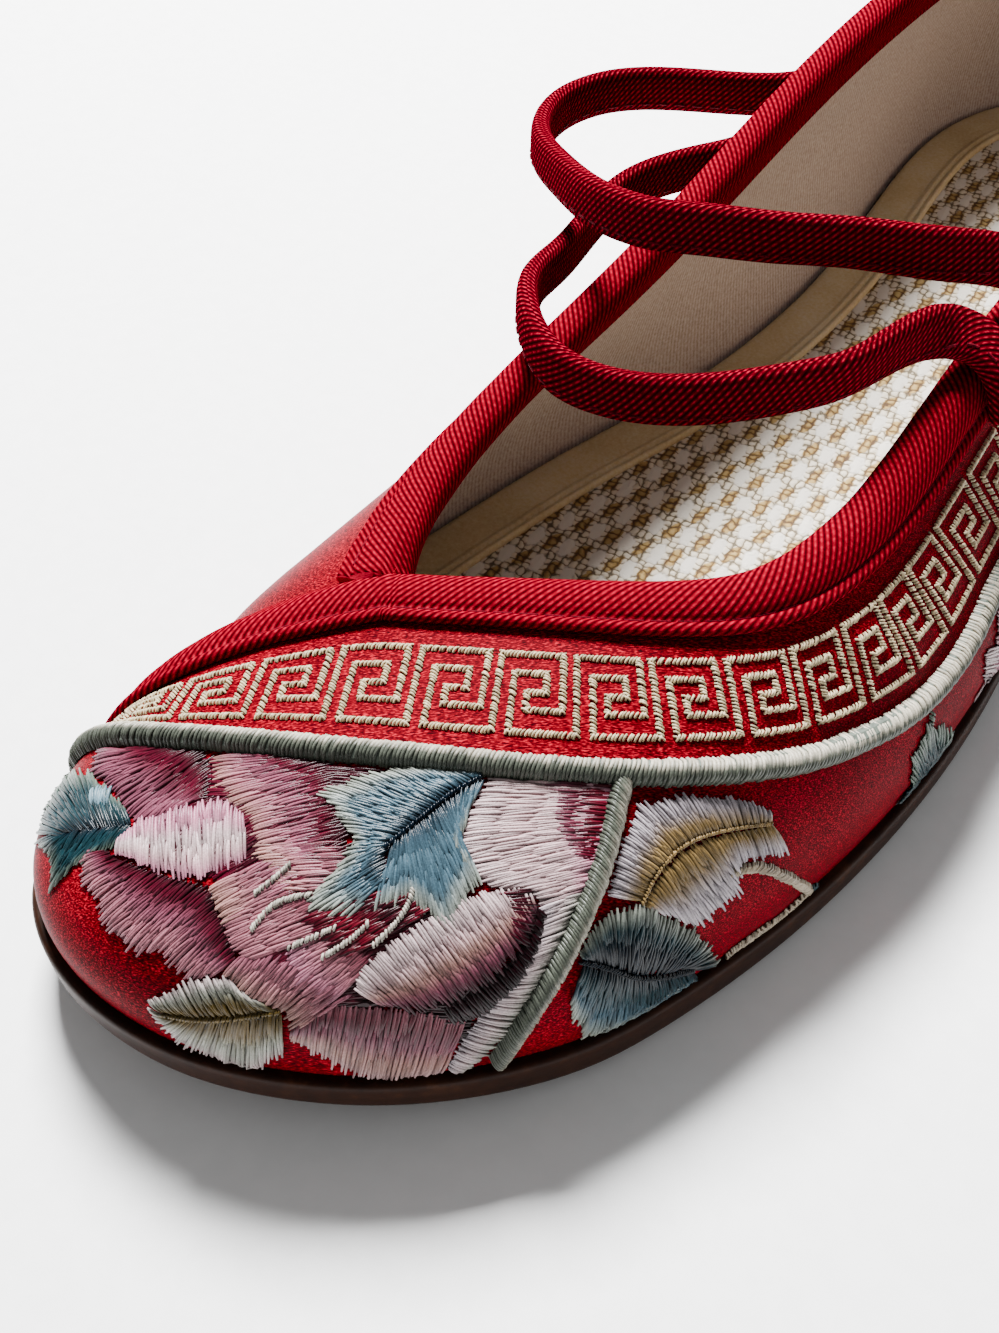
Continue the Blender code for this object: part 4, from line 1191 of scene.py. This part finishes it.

# Peony embroidery: a peony with leaves and tendrils over the toe, worked in long and short stitch with silk
# floss, light at the rims and dark at the heart, over a flat padding. Each petal or leaf half runs from an
# inner to an outer rail, placed in photo pixels.
Motif = namedtuple("Motif", "lift reach inner outer dyes")
FLOSS_GAP = 2.7
FLOSS_RADIUS = 0.2
FLOSS_TAPER = np.array([0.6, 1.0, 1.05, 1.0, 0.6])
FLOSS_CROWN = np.array([0.0, 0.16, 0.2, 0.16, 0.0])
FLOSS_POINTS = len(FLOSS_TAPER)
ROW_SHIFT = 0.3
ROW_OVERLAP = 0.18
FLOSS_SWAY = 0.7
PAD_SHARES = np.linspace(0.02, 0.98, 13)
PAD_DEPTHS = np.linspace(0.04, 0.95, 7)
PAD_LIFT = 0.06
# Share of the dye left on the padding: painted shade between the threads.
PAD_PAINTED_SHADE = 0.55
TENDRIL_STEPS = 24
TENDRIL_PITCH = 0.34
TENDRIL_RADIUS = 0.15
TENDRIL_LEAN = 0.8
PLUM = dye(78, 10, 40)
BLACK_PLUM = dye(58, 2, 28)
WINE = dye(122, 26, 62)
CRIMSON = dye(140, 20, 58)
MAUVE = dye(172, 110, 130)
ROSE = dye(204, 144, 156)
PINK = dye(228, 164, 188)
BEIGE_ROSE = dye(208, 168, 158)
BLUSH = dye(234, 204, 206)
IVORY = dye(238, 218, 219)
STEEL = dye(106, 134, 148)
ICE = dye(160, 190, 204)
NAVY = dye(12, 42, 60)
TEAL = dye(46, 86, 94)
SAGE = dye(150, 164, 150)
PALE_SAGE = dye(204, 208, 196)
OLIVE = dye(140, 120, 70)
GOLD = dye(184, 158, 112)
LAVENDER = dye(222, 212, 218)
CREAM = dye(226, 212, 190)
ASH = dye(226, 220, 208)
PEONY = [
    # The first four motifs lie lowest, in dark plum under and between the petals: painted shade between the
    # petals.
    Motif(0.02, 40, [(118, 846), (165, 868), (215, 880), (232, 945), (255, 965), (330, 1003)],
          [(211, 797), (250, 800), (345, 792), (352, 860), (430, 892), (440, 1000)],
          [WINE, PLUM, WINE, PLUM]),
    Motif(0.02, 40, [(300, 1004), (350, 1004), (400, 1006), (455, 1004)],
          [(330, 985), (370, 1000), (430, 990), (500, 960)], [PLUM, BLACK_PLUM]),
    Motif(0.02, 40, [(202, 758), (202, 802)], [(382, 770), (382, 802)], [WINE, PLUM]),
    Motif(0.02, 40, [(418, 1000), (424, 1036)], [(482, 1000), (466, 1042)], [PLUM, BLACK_PLUM]),
    Motif(0.10, 24, [(131, 826), (105, 828), (82, 830), (60, 836)],
          [(124, 808), (112, 794), (88, 772), (58, 776), (40, 808), (34, 834)], [NAVY, TEAL, TEAL, SAGE]),
    Motif(0.10, 24, [(131, 826), (105, 828), (82, 830), (60, 836)],
          [(118, 846), (92, 856), (72, 868), (52, 890), (54, 862), (36, 842)], [NAVY, TEAL, TEAL, SAGE]),
    Motif(0.26, 24, [(90, 806), (100, 808), (110, 806)], [(92, 792), (102, 787), (113, 790)], [ICE, ICE]),
    Motif(0.12, 30, [(98, 750), (90, 772), (113, 792), (133, 824), (150, 822), (186, 806)],
          [(150, 750), (195, 752), (211, 760), (211, 776), (210, 790), (207, 799)],
          [MAUVE, MAUVE, WINE, PLUM]),
    Motif(0.16, 32, [(212, 757), (212, 785), (225, 802), (245, 816), (252, 846), (264, 856), (292, 862)],
          [(280, 757), (332, 766), (346, 790), (346, 815), (342, 836), (334, 846), (318, 858)],
          [BEIGE_ROSE, ROSE, MAUVE, WINE, PLUM]),
    Motif(0.14, 30, [(100, 850), (125, 861), (165, 876), (195, 883), (212, 890), (216, 905), (224, 926),
                     (232, 945), (237, 960)],
          [(83, 853), (85, 884), (100, 902), (106, 927), (118, 943), (142, 952), (158, 946), (172, 963),
           (190, 978), (216, 974)], [PLUM, WINE, MAUVE, ROSE, ROSE]),
    Motif(0.15, 28, [(248, 848), (260, 868), (266, 890)], [(332, 842), (358, 862), (364, 890)],
          [BEIGE_ROSE, ROSE, WINE]),
    Motif(0.32, 26, [(120, 838), (140, 822), (180, 808), (222, 800), (245, 815)],
          [(116, 855), (140, 863), (165, 873), (204, 880), (246, 858)], [PINK, PINK, IVORY, BLUSH, PINK]),
    Motif(0.20, 28, [(211, 888), (216, 905), (222, 925)], [(264, 860), (296, 872), (292, 890)],
          [BEIGE_ROSE, ROSE, MAUVE]),
    Motif(0.18, 28, [(222, 922), (232, 945), (246, 962)], [(298, 888), (330, 904), (348, 926)],
          [ROSE, ROSE, WINE]),
    Motif(0.20, 26, [(284, 954), (290, 985), (330, 1004)], [(344, 926), (368, 940), (370, 966)],
          [PINK, ROSE, WINE]),
    Motif(0.30, 22, [(300, 918), (318, 940), (340, 960)], [(378, 892), (420, 890), (430, 914)],
          [PLUM, CRIMSON, PLUM, CRIMSON]),
    Motif(0.22, 26, [(238, 956), (270, 955), (300, 960), (330, 976), (352, 993)],
          [(222, 973), (238, 987), (255, 1005), (284, 1010), (296, 1029)], [MAUVE, ROSE, BEIGE_ROSE]),
    Motif(0.26, 28, [(294, 1024), (315, 1010), (336, 1003), (378, 1006), (425, 1012), (464, 1021)],
          [(288, 1036), (316, 1050), (334, 1061), (356, 1073), (394, 1080), (442, 1072)],
          [ROSE, WINE, MAUVE, BEIGE_ROSE, BLUSH]),
    # Black-plum strip beside the rolled petal: a painted shadow cast by the rolled petal.
    Motif(0.24, 30, [(440, 1004), (470, 990), (502, 968), (525, 945), (536, 905)],
          [(455, 1023), (492, 1010), (520, 986), (538, 956), (546, 915)], [BLACK_PLUM, BLACK_PLUM]),
    Motif(0.18, 28, [(540, 906), (533, 945), (512, 975), (482, 1010), (464, 1036), (446, 1067)],
          [(584, 890), (556, 948), (534, 988), (512, 1022), (492, 1047), (464, 1073)],
          [LAVENDER, IVORY, PALE_SAGE]),
    Motif(0.16, 34, [(486, 780), (470, 808), (456, 850), (462, 868), (490, 886), (530, 890), (540, 906)],
          [(616, 786), (610, 812), (604, 838), (597, 856), (592, 868), (588, 880), (584, 890)],
          [IVORY, BLUSH, BLUSH, PINK]),
    Motif(0.24, 28, [(548, 783), (548, 810), (556, 835), (574, 858)],
          [(617, 787), (610, 814), (604, 840), (596, 862)], [MAUVE, WINE, CRIMSON]),
    Motif(0.46, 28, [(354, 988), (362, 966), (392, 942), (425, 918), (455, 904), (490, 890), (528, 890)],
          [(384, 1003), (415, 1008), (440, 1003), (470, 990), (500, 968), (522, 944), (535, 908)],
          [IVORY, IVORY, BLUSH, BEIGE_ROSE, MAUVE, PLUM]),
    Motif(0.50, 22, [(498, 894), (508, 908), (506, 932)], [(528, 888), (537, 906), (526, 948)],
          [WINE, BLACK_PLUM]),
    Motif(0.42, 26, [(483, 778), (452, 793), (428, 813), (410, 827), (396, 840), (384, 850)],
          [(472, 774), (420, 770), (368, 776), (322, 797), (354, 836), (346, 860)],
          [NAVY, STEEL, STEEL, PALE_SAGE]),
    Motif(0.42, 26, [(392, 842), (382, 860), (394, 876)], [(345, 862), (306, 906), (346, 919)],
          [NAVY, STEEL, PALE_SAGE]),
    Motif(0.42, 26, [(394, 843), (412, 830), (428, 817)], [(372, 914), (412, 900), (452, 934), (462, 908)],
          [NAVY, STEEL, STEEL, PALE_SAGE]),
    Motif(0.42, 26, [(428, 817), (445, 803), (465, 790), (484, 779)],
          [(462, 908), (480, 883), (454, 852), (472, 804)], [NAVY, STEEL, STEEL, PALE_SAGE]),
    Motif(0.30, 26, [(166, 1010), (195, 1015), (225, 1014), (255, 1012), (282, 1010)],
          [(148, 1000), (170, 990), (200, 978), (228, 977), (252, 1002)], [OLIVE, OLIVE, PALE_SAGE, IVORY]),
    Motif(0.30, 26, [(166, 1013), (195, 1018), (225, 1017), (255, 1015), (283, 1012)],
          [(150, 1006), (178, 1039), (215, 1055), (246, 1071), (285, 1048)],
          [OLIVE, OLIVE, PALE_SAGE, IVORY]),
    Motif(0.20, 26, [(640, 902), (655, 873), (680, 846), (717, 831), (770, 822)],
          [(609, 894), (622, 842), (640, 806), (685, 796), (742, 799), (770, 811)],
          [GOLD, GOLD, LAVENDER, LAVENDER]),
    Motif(0.20, 26, [(642, 904), (658, 875), (683, 849), (720, 834), (774, 824)],
          [(660, 911), (698, 926), (738, 893), (740, 860), (788, 852)], [GOLD, GOLD, LAVENDER, LAVENDER]),
    Motif(0.26, 26, [(585, 958), (610, 965), (640, 973), (690, 966)],
          [(577, 953), (606, 913), (645, 903), (697, 932), (722, 963)], [NAVY, NAVY, TEAL, PALE_SAGE]),
    Motif(0.26, 26, [(583, 963), (612, 971), (642, 978), (692, 970)],
          [(567, 1002), (584, 1037), (622, 1033), (664, 1016), (704, 980)], [NAVY, TEAL, STEEL, PALE_SAGE]),
    Motif(0.20, 22, [(916, 800), (924, 778), (934, 769), (944, 771), (948, 782)],
          [(909, 804), (911, 757), (927, 725), (954, 729), (963, 756)], [TEAL, TEAL, SAGE]),
    Motif(0.18, 22, [(1006, 640), (1004, 678), (1002, 716)], [(985, 650), (982, 684), (990, 714)],
          [IVORY, IVORY]),
]
Tendril = namedtuple("Tendril", "lift width colour line")
TENDRILS = [
    Tendril(0.55, 0.62, ASH, [(257, 894), (274, 881), (291, 866)]),
    Tendril(0.55, 0.62, ASH, [(253, 930), (277, 905), (310, 896)]),
    Tendril(0.55, 0.62, ASH, [(291, 947), (312, 938), (335, 928)]),
    Tendril(0.60, 0.62, ASH, [(324, 956), (350, 940), (369, 923)]),
    Tendril(0.65, 0.62, ASH, [(374, 944), (395, 924), (408, 905), (413, 890)]),
    Tendril(0.60, 0.55, NAVY, [(480, 780), (450, 797), (420, 821), (386, 848)]),
    Tendril(0.42, 0.50, OLIVE, [(166, 1012), (200, 1017), (240, 1015), (280, 1010)]),
    Tendril(0.30, 0.34, GOLD, [(641, 902), (656, 873), (680, 847), (718, 831), (768, 823)]),
    Tendril(0.42, 0.55, NAVY, [(580, 960), (612, 968), (642, 976), (690, 968)]),
    Tendril(0.25, 1.15, CREAM, [(728, 874), (752, 867), (776, 872), (800, 884), (815, 894)]),
    Tendril(0.30, 1.0, CREAM, [(815, 894), (808, 908), (796, 921), (776, 935), (756, 950), (745, 960)]),
    Tendril(0.30, 0.7, CREAM, [(770, 922), (764, 934), (757, 946)]),
    Tendril(0.20, 0.8, TEAL, [(816, 891), (832, 886), (847, 882)]),
    Tendril(0.20, 0.7, SAGE, [(929, 728), (930, 720), (931, 714)]),
]


def along_rail(points, share):
    """Point at a share of a rail's length."""
    points = np.array(points, float)
    run = run_along(points)
    return np.array([np.interp(share * run[-1], run, points[:, i]) for i in (0, 1)])


def rail_length(points):
    return np.sum(np.linalg.norm(np.diff(np.array(points, float), axis=0), axis=1))


def blend_dyes(dyes, share):
    """Colour at a share of the way from the first dye to the last."""
    spot = np.clip(share, 0.0, 1.0) * (len(dyes) - 1)
    low = min(int(spot), len(dyes) - 2)
    return np.array(dyes[low]) * (1.0 - spot + low) + np.array(dyes[low + 1]) * (spot - low)


def long_and_short(motif, place_at, gap):
    """Threads of one petal or leaf half, in staggered rows from its inner rail to its outer one."""
    threads = []
    count = max(3, int(max(rail_length(motif.inner), rail_length(motif.outer)) / gap))
    for k in range(count):
        share = (k + 0.5) / count
        start, end = along_rail(motif.inner, share), along_rail(motif.outer, share)
        rows = max(1, int(round(np.linalg.norm(end - start) / motif.reach)))
        shift = rng.uniform(-ROW_SHIFT, ROW_SHIFT)
        for row in range(rows):
            near = (row + shift - ROW_OVERLAP) / rows if row else rng.uniform(-0.03, 0.04)
            far = (row + 1 + shift + ROW_OVERLAP) / rows if row < rows - 1 else rng.uniform(0.92, 1.08)
            sway = np.linspace(*rng.uniform(-FLOSS_SWAY, FLOSS_SWAY, (2, 2)), FLOSS_POINTS) * gap
            depths = np.linspace(near, far, FLOSS_POINTS)
            spots = [place_at(start + (end - start) * t + s) for t, s in zip(depths, sway)]
            tint = rng.uniform(0.55, 1.2)
            if any(spot is None for spot in spots):
                continue
            rise = motif.lift + rng.uniform(0.0, 0.1) + FLOSS_CROWN
            line = np.array([spot[0] + spot[1] * up for spot, up in zip(spots, rise)])
            colours = np.array([blend_dyes(motif.dyes, t) for t in depths]) * tint
            threads.append(Thread(line, FLOSS_RADIUS * FLOSS_TAPER, colours))
    return threads


def padding(name, motifs, place_at):
    """Flat padding under the petals in their dyes, darkened as painted shade, so that no satin shows between
    their threads and the gaps between them read dark.
    """
    points, faces, colours = [], [], []
    deep = len(PAD_DEPTHS)
    for motif in motifs:
        first = len(points)
        for share in PAD_SHARES:
            start, end = along_rail(motif.inner, share), along_rail(motif.outer, share)
            for depth in PAD_DEPTHS:
                spot = place_at(start + (end - start) * depth)
                missed = np.full(3, np.nan)
                points.append(missed if spot is None else spot[0] + spot[1] * (PAD_LIFT + motif.lift))
                colours.append(blend_dyes(motif.dyes, depth) * PAD_PAINTED_SHADE)
        for i in range(len(PAD_SHARES) - 1):
            for j in range(deep - 1):
                corner = first + i * deep + j
                quad = [corner, corner + 1, corner + deep + 1, corner + deep]
                corners = np.array([points[q] for q in quad])
                if np.isnan(corners).any():
                    continue
                facing = np.cross(corners[1] - corners[0], corners[3] - corners[0])
                out = on_shell(corners.mean(axis=0))[1]
                faces.append(quad if np.dot(facing, out) > 0 else quad[::-1])
    used = sorted({q for face in faces for q in face})
    number = {q: i for i, q in enumerate(used)}
    patches = [[number[q] for q in face] for face in faces]
    piece = new_piece(name, np.array([points[q] for q in used]), patches, [thread_silk])
    dyed = piece.data.attributes.new("dye", "FLOAT_COLOR", "POINT")
    dyed.data.foreach_set("color", np.array([colours[q] for q in used]).ravel())
    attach(piece, "root")


def worked(tendrils, place_at):
    """Narrow lines of cross stitches: stamens, veins and tendrils."""
    threads = []
    for tendril in tendrils:
        row = spline(tendril.line)(np.linspace(0, len(tendril.line) - 1, TENDRIL_STEPS))
        spots = [place_at(pixel) for pixel in row]
        line = [spot[0] for spot in spots if spot is not None]
        if len(line) > 2:
            threads += cross_stitches(line, tendril.width, TENDRIL_PITCH, TENDRIL_RADIUS, tendril.colour,
                                      tendril.lift, TENDRIL_LEAN)
    return threads


padding("peony_padding", PEONY, on_photo)
petal_threads = [t for motif in PEONY for t in long_and_short(motif, on_photo, FLOSS_GAP)]
sewn("peony_floss", petal_threads, thread_silk)
sewn("peony_tendrils", worked(TENDRILS, on_photo), thread_silk)

# Side embroidery: the same peony and leaves on a trailing stem, from behind the toe along the outer side to
# the heel, in the same floss.
SIDE_GAP = 0.36
SIDE_REACH = 3.4
SIDE_STATIONS = np.linspace(5.0, HEEL, 300)
SIDE_RUN = run_along(outline(SIDE_STATIONS))
SIDE_LEVELS = np.linspace(0.0, 1.0, 30)
PETALS = 6
PETAL_SPREAD = np.linspace(-0.66, 0.66, 9)
NOTCHES = 7.0
PETAL_ROOT = 0.18
HEART_RADIUS = 0.22
VEIN_SHARE = 0.88
LEAF_STEPS = np.linspace(0.0, 1.0, 7)
STEM_STARTS = (142.0, 200.0)
STEM_LENGTH = 52.0
Bloom = namedtuple("Bloom", "run rise size")
BLOOMS = [Bloom(136.0, 8.5, 7.6), Bloom(196.0, 11.0, 8.6), Bloom(252.0, 13.0, 7.8)]
Leaf = namedtuple("Leaf", "run rise turn length wide dyes")
LEAVES = [
    Leaf(146.0, 9.0, 12.0, 15.0, 4.2, [NAVY, TEAL, PALE_SAGE]),
    Leaf(163.0, 8.0, 58.0, 11.0, 3.4, [OLIVE, OLIVE, IVORY]),
    Leaf(172.0, 7.5, -14.0, 13.0, 3.8, [NAVY, STEEL, PALE_SAGE]),
    Leaf(207.0, 12.0, 20.0, 15.0, 4.4, [GOLD, GOLD, LAVENDER]),
    Leaf(212.0, 8.0, -16.0, 13.0, 3.6, [NAVY, TEAL, SAGE]),
    Leaf(232.0, 12.0, 40.0, 11.0, 3.4, [NAVY, STEEL, PALE_SAGE]),
    Leaf(260.0, 10.0, -30.0, 10.0, 3.2, [OLIVE, OLIVE, IVORY]),
    Leaf(262.0, 16.0, 30.0, 12.0, 3.6, [NAVY, TEAL, SAGE]),
]


def on_side(spot):
    """Place on the outer side: run back from the toe tip along the sole, rise up the wall."""
    station = np.interp(spot[0], SIDE_RUN, SIDE_STATIONS)
    line = shell(np.full(len(SIDE_LEVELS), station), SIDE_LEVELS)
    rise = run_along(line)
    level = np.interp(spot[1], rise, SIDE_LEVELS)
    return on_shell(shell(station, level)[0])


def bloom_petals(bloom):
    """Six overlapping petals with notched rims round a gold heart."""
    middle = np.array([bloom.run, bloom.rise])
    petals = []
    for k in range(PETALS):
        turn = 2.0 * pi * k / PETALS + 0.3
        ways = np.array([(sin(turn + a), cos(turn + a)) for a in PETAL_SPREAD])
        root = middle + PETAL_ROOT * bloom.size * ways
        rim = middle + bloom.size * (0.93 + 0.07 * np.cos(NOTCHES * PETAL_SPREAD))[:, None] * ways
        petals.append(Motif(0.12 + 0.08 * (k % 2), SIDE_REACH, root, rim, [PLUM, WINE, ROSE, PINK, BLUSH]))
    around = np.array([(sin(a), cos(a)) for a in np.linspace(0.0, 2.0 * pi, 13)])
    rim = middle + HEART_RADIUS * bloom.size * around
    petals.append(Motif(0.34, SIDE_REACH, middle + 0.02 * around, rim, [OLIVE, GOLD]))
    return petals


def leaf_halves(leaf):
    """Two halves of a leaf, stitched from the vein out towards its tip."""
    ahead = np.array([cos(radians(leaf.turn)), sin(radians(leaf.turn))])
    aside = np.array([-ahead[1], ahead[0]])
    base = np.array([leaf.run, leaf.rise])
    vein = np.array([base + ahead * leaf.length * VEIN_SHARE * t for t in LEAF_STEPS])
    halves = []
    for side in (1.0, -1.0):
        rim = [base + ahead * leaf.length * min(t + 0.12, 1.0) + side * aside * leaf.wide * sin(pi * t) ** 0.8
               for t in LEAF_STEPS]
        halves.append(Motif(0.16, SIDE_REACH, vein, np.array(rim), leaf.dyes))
    return halves


side_motifs = [m for bloom in BLOOMS for m in bloom_petals(bloom)]
side_motifs += [m for leaf in LEAVES for m in leaf_halves(leaf)]
padding("side_padding", side_motifs, on_side)
side_threads = [t for motif in side_motifs for t in long_and_short(motif, on_side, SIDE_GAP)]
sewn("side_floss", side_threads, thread_silk)
stem = []
for start in STEM_STARTS:
    runs = np.arange(start, start + STEM_LENGTH, 4.0)
    line = [(run, 8.0 + 0.02 * (run - 130.0) + 1.8 * sin(run / 9.0)) for run in runs]
    stem.append(Tendril(0.10, 0.8, SAGE, line))
sewn("side_stem", worked(stem, on_side), thread_silk)

# Straps: two narrow twill straps, rolled and topstitched, slack. Each is sewn on outside the outer collar,
# crosses the opening on edge and comes back round to the inner quarter.
STRAP_WIDTH = 6.6
STRAP_THICK = 3.0
STRAP_SIDES = 24
STRAP_STEP = 0.8
STRAP_FINE = 600
STRAP_RIB_PITCH = 0.7
SEAM_LOW = -0.55
SEAM_FACES = (0.96, -0.96)
TOPSTITCH_LENGTH = 2.2
TOPSTITCH_SPACE = 0.8
TOPSTITCH_RADIUS = 0.17
StrapPlace = namedtuple("StrapPlace", "x y z wide_x wide_y wide_z")
FRONT_STRAP = [
    StrapPlace(29.7, 120.0, 41.0, 0.0, 1.0, 0.1),
    StrapPlace(27.8, 120.0, 45.6, 0.0, 1.0, 0.1),
    StrapPlace(24.2, 119.8, 48.6, 0.0, 1.0, 0.2),
    StrapPlace(20.0, 117.4, 50.0, 0.0, 0.8, 0.6),
    StrapPlace(17.4, 111.0, 50.6, 0.0, 0.3, 1.0),
    StrapPlace(15.4, 103.0, 50.4, 0.1, 0.1, 1.0),
    StrapPlace(11.6, 97.6, 49.6, 0.1, 0.1, 1.0),
    StrapPlace(4.4, 91.8, 47.8, 0.0, 0.1, 1.0),
    StrapPlace(-3.0, 88.2, 46.2, 0.0, 0.1, 1.0),
    StrapPlace(-9.6, 86.6, 45.4, 0.0, 0.1, 1.0),
    StrapPlace(-16.2, 86.6, 45.6, 0.0, 0.1, 1.0),
    StrapPlace(-23.0, 90.6, 46.0, 0.0, 0.0, 1.0),
    StrapPlace(-29.6, 99.0, 44.6, 0.0, 0.0, 1.0),
    StrapPlace(-33.0, 110.0, 42.2, 0.0, 0.0, 1.0),
    StrapPlace(-36.4, 122.0, 40.8, 0.0, 0.0, 1.0),
    StrapPlace(-37.2, 133.0, 41.0, 0.0, 0.0, 1.0),
    StrapPlace(-33.2, 142.4, 41.6, 0.0, 0.0, 1.0),
    StrapPlace(-29.2, 149.0, 42.0, 0.05, 0.0, 1.0),
    StrapPlace(-27.4, 156.0, 42.4, 0.1, 0.0, 1.0),
]
REAR_STRAP = [
    StrapPlace(29.0, 133.0, 43.2, 0.0, 1.0, 0.1),
    StrapPlace(27.2, 133.0, 48.0, 0.0, 1.0, 0.1),
    StrapPlace(24.0, 132.8, 51.4, 0.0, 1.0, 0.2),
    StrapPlace(19.8, 130.2, 53.4, 0.0, 0.8, 0.6),
    StrapPlace(13.6, 124.0, 55.0, 0.0, 0.3, 1.0),
    StrapPlace(5.4, 117.8, 56.2, 0.1, 0.1, 1.0),
    StrapPlace(-2.0, 112.4, 56.6, 0.1, 0.1, 1.0),
    StrapPlace(-10.4, 108.8, 56.2, 0.0, 0.1, 1.0),
    StrapPlace(-17.2, 107.2, 55.2, 0.0, 0.1, 1.0),
    StrapPlace(-26.8, 109.2, 53.4, 0.0, 0.1, 1.0),
    StrapPlace(-37.2, 115.4, 51.0, 0.0, 0.0, 1.0),
    StrapPlace(-47.0, 123.4, 48.8, 0.0, 0.0, 1.0),
    StrapPlace(-52.6, 135.0, 47.2, 0.0, 0.0, 1.0),
    StrapPlace(-51.4, 146.0, 46.4, 0.0, 0.0, 1.0),
    StrapPlace(-45.4, 153.8, 45.8, 0.0, 0.0, 1.0),
    StrapPlace(-37.4, 159.6, 45.4, 0.0, 0.0, 1.0),
    StrapPlace(-30.2, 166.0, 45.2, 0.0, 0.0, 1.0),
    StrapPlace(-27.2, 174.0, 45.2, 0.05, 0.0, 1.0),
]


def strap_rings(places):
    """Rounded sections along a strap, and the line of the stitch row low on each face."""
    path = even(spline(places)(np.linspace(0, len(places) - 1, STRAP_FINE)), STRAP_STEP)
    turn = 2.0 * pi * np.arange(STRAP_SIDES) / STRAP_SIDES
    across = 0.5 * STRAP_WIDTH * np.sign(np.cos(turn)) * np.abs(np.cos(turn)) ** 0.6
    thick = 0.5 * STRAP_THICK * np.sign(np.sin(turn)) * np.abs(np.sin(turn)) ** 0.7
    rings, seams = [], [[], []]
    for row, heading in zip(path, headings(path[:, :3])):
        wide = unit(row[3:] - heading * np.dot(row[3:], heading))
        face = np.cross(wide, heading)
        rings.append(row[:3] + across[:, None] * wide + thick[:, None] * face)
        low = row[:3] + wide * SEAM_LOW * 0.5 * STRAP_WIDTH
        for seam, stand in zip(seams, SEAM_FACES):
            seam.append(low + face * stand * 0.5 * STRAP_THICK)
    return rings, [np.array(seam) for seam in seams]


# The straps' twill is the tape's red painted darker, as painted shade on the straps' faces, with a pinkish
# last stop as painted highlight on the rib tops.
shaded_strap_twill = twill_material("shaded_strap_twill", STRAP_RIB_PITCH, [
    (0.15, dye(48, 0, 14)), (0.4, dye(88, 0, 26)), (0.65, dye(124, 0, 38)), (0.85, dye(216, 44, 84))])
for name, node, places in (("rolled_strap_rear", "strap_rear", REAR_STRAP),
                           ("rolled_strap_front", "strap_front", FRONT_STRAP)):
    rings, seams = strap_rings(places)
    strap = tube(name, rings, shaded_strap_twill)
    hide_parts(node)
    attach(strap, "root")
    stitches = [t for seam in seams for t in running_stitch(
        seam, TAPE_THREAD, TOPSTITCH_LENGTH, TOPSTITCH_SPACE, TOPSTITCH_RADIUS)]
    sewn(name + "_stitches", stitches, sewing_cotton)

# Floor and light: a plain floor of pale paper, one soft square lamp high on the inner side, behind the
# heel, and an even white sky.
FLOOR_SIZE = 3.0
SKY_STRENGTH = 0.33
LAMP_PLACE = Vector((-0.37, 0.28, 0.70))
LAMP_AIM = Vector((0.0, 0.0, 0.03))
LAMP_SIZE = 0.26
LAMP_WATTS = 52.0
floor_paper, tree, shader, place = new_material("pale_paper", 0.9)
greys = [(0.4, (0.93, 0.93, 0.93, 1)), (0.6, (0.96, 0.96, 0.96, 1))]
tree.links.new(ramp(tree, noise(tree, place, 300.0), greys), shader.inputs["Base Color"])
mesh = bpy.data.meshes.new("floor")
half = 0.5 * FLOOR_SIZE
mesh.from_pydata([(-half, -half, 0), (half, -half, 0), (half, half, 0), (-half, half, 0)], [], [(0, 1, 2, 3)])
mesh.materials.append(floor_paper)
floor = bpy.data.objects.new("floor", mesh)
bpy.context.scene.collection.objects.link(floor)

sky = bpy.data.worlds.new("pale_sky")
bpy.context.scene.world = sky
sky.use_nodes = True
sky.node_tree.nodes["Background"].inputs["Color"].default_value = (1.0, 1.0, 1.0, 1.0)
sky.node_tree.nodes["Background"].inputs["Strength"].default_value = SKY_STRENGTH

light = bpy.data.lights.new("key_lamp", "AREA")
light.size = LAMP_SIZE
light.energy = LAMP_WATTS
lamp = bpy.data.objects.new("key_lamp", light)
lamp.location = LAMP_PLACE
lamp.rotation_euler = (LAMP_AIM - LAMP_PLACE).to_track_quat("-Z", "Y").to_euler()
bpy.context.scene.collection.objects.link(lamp)
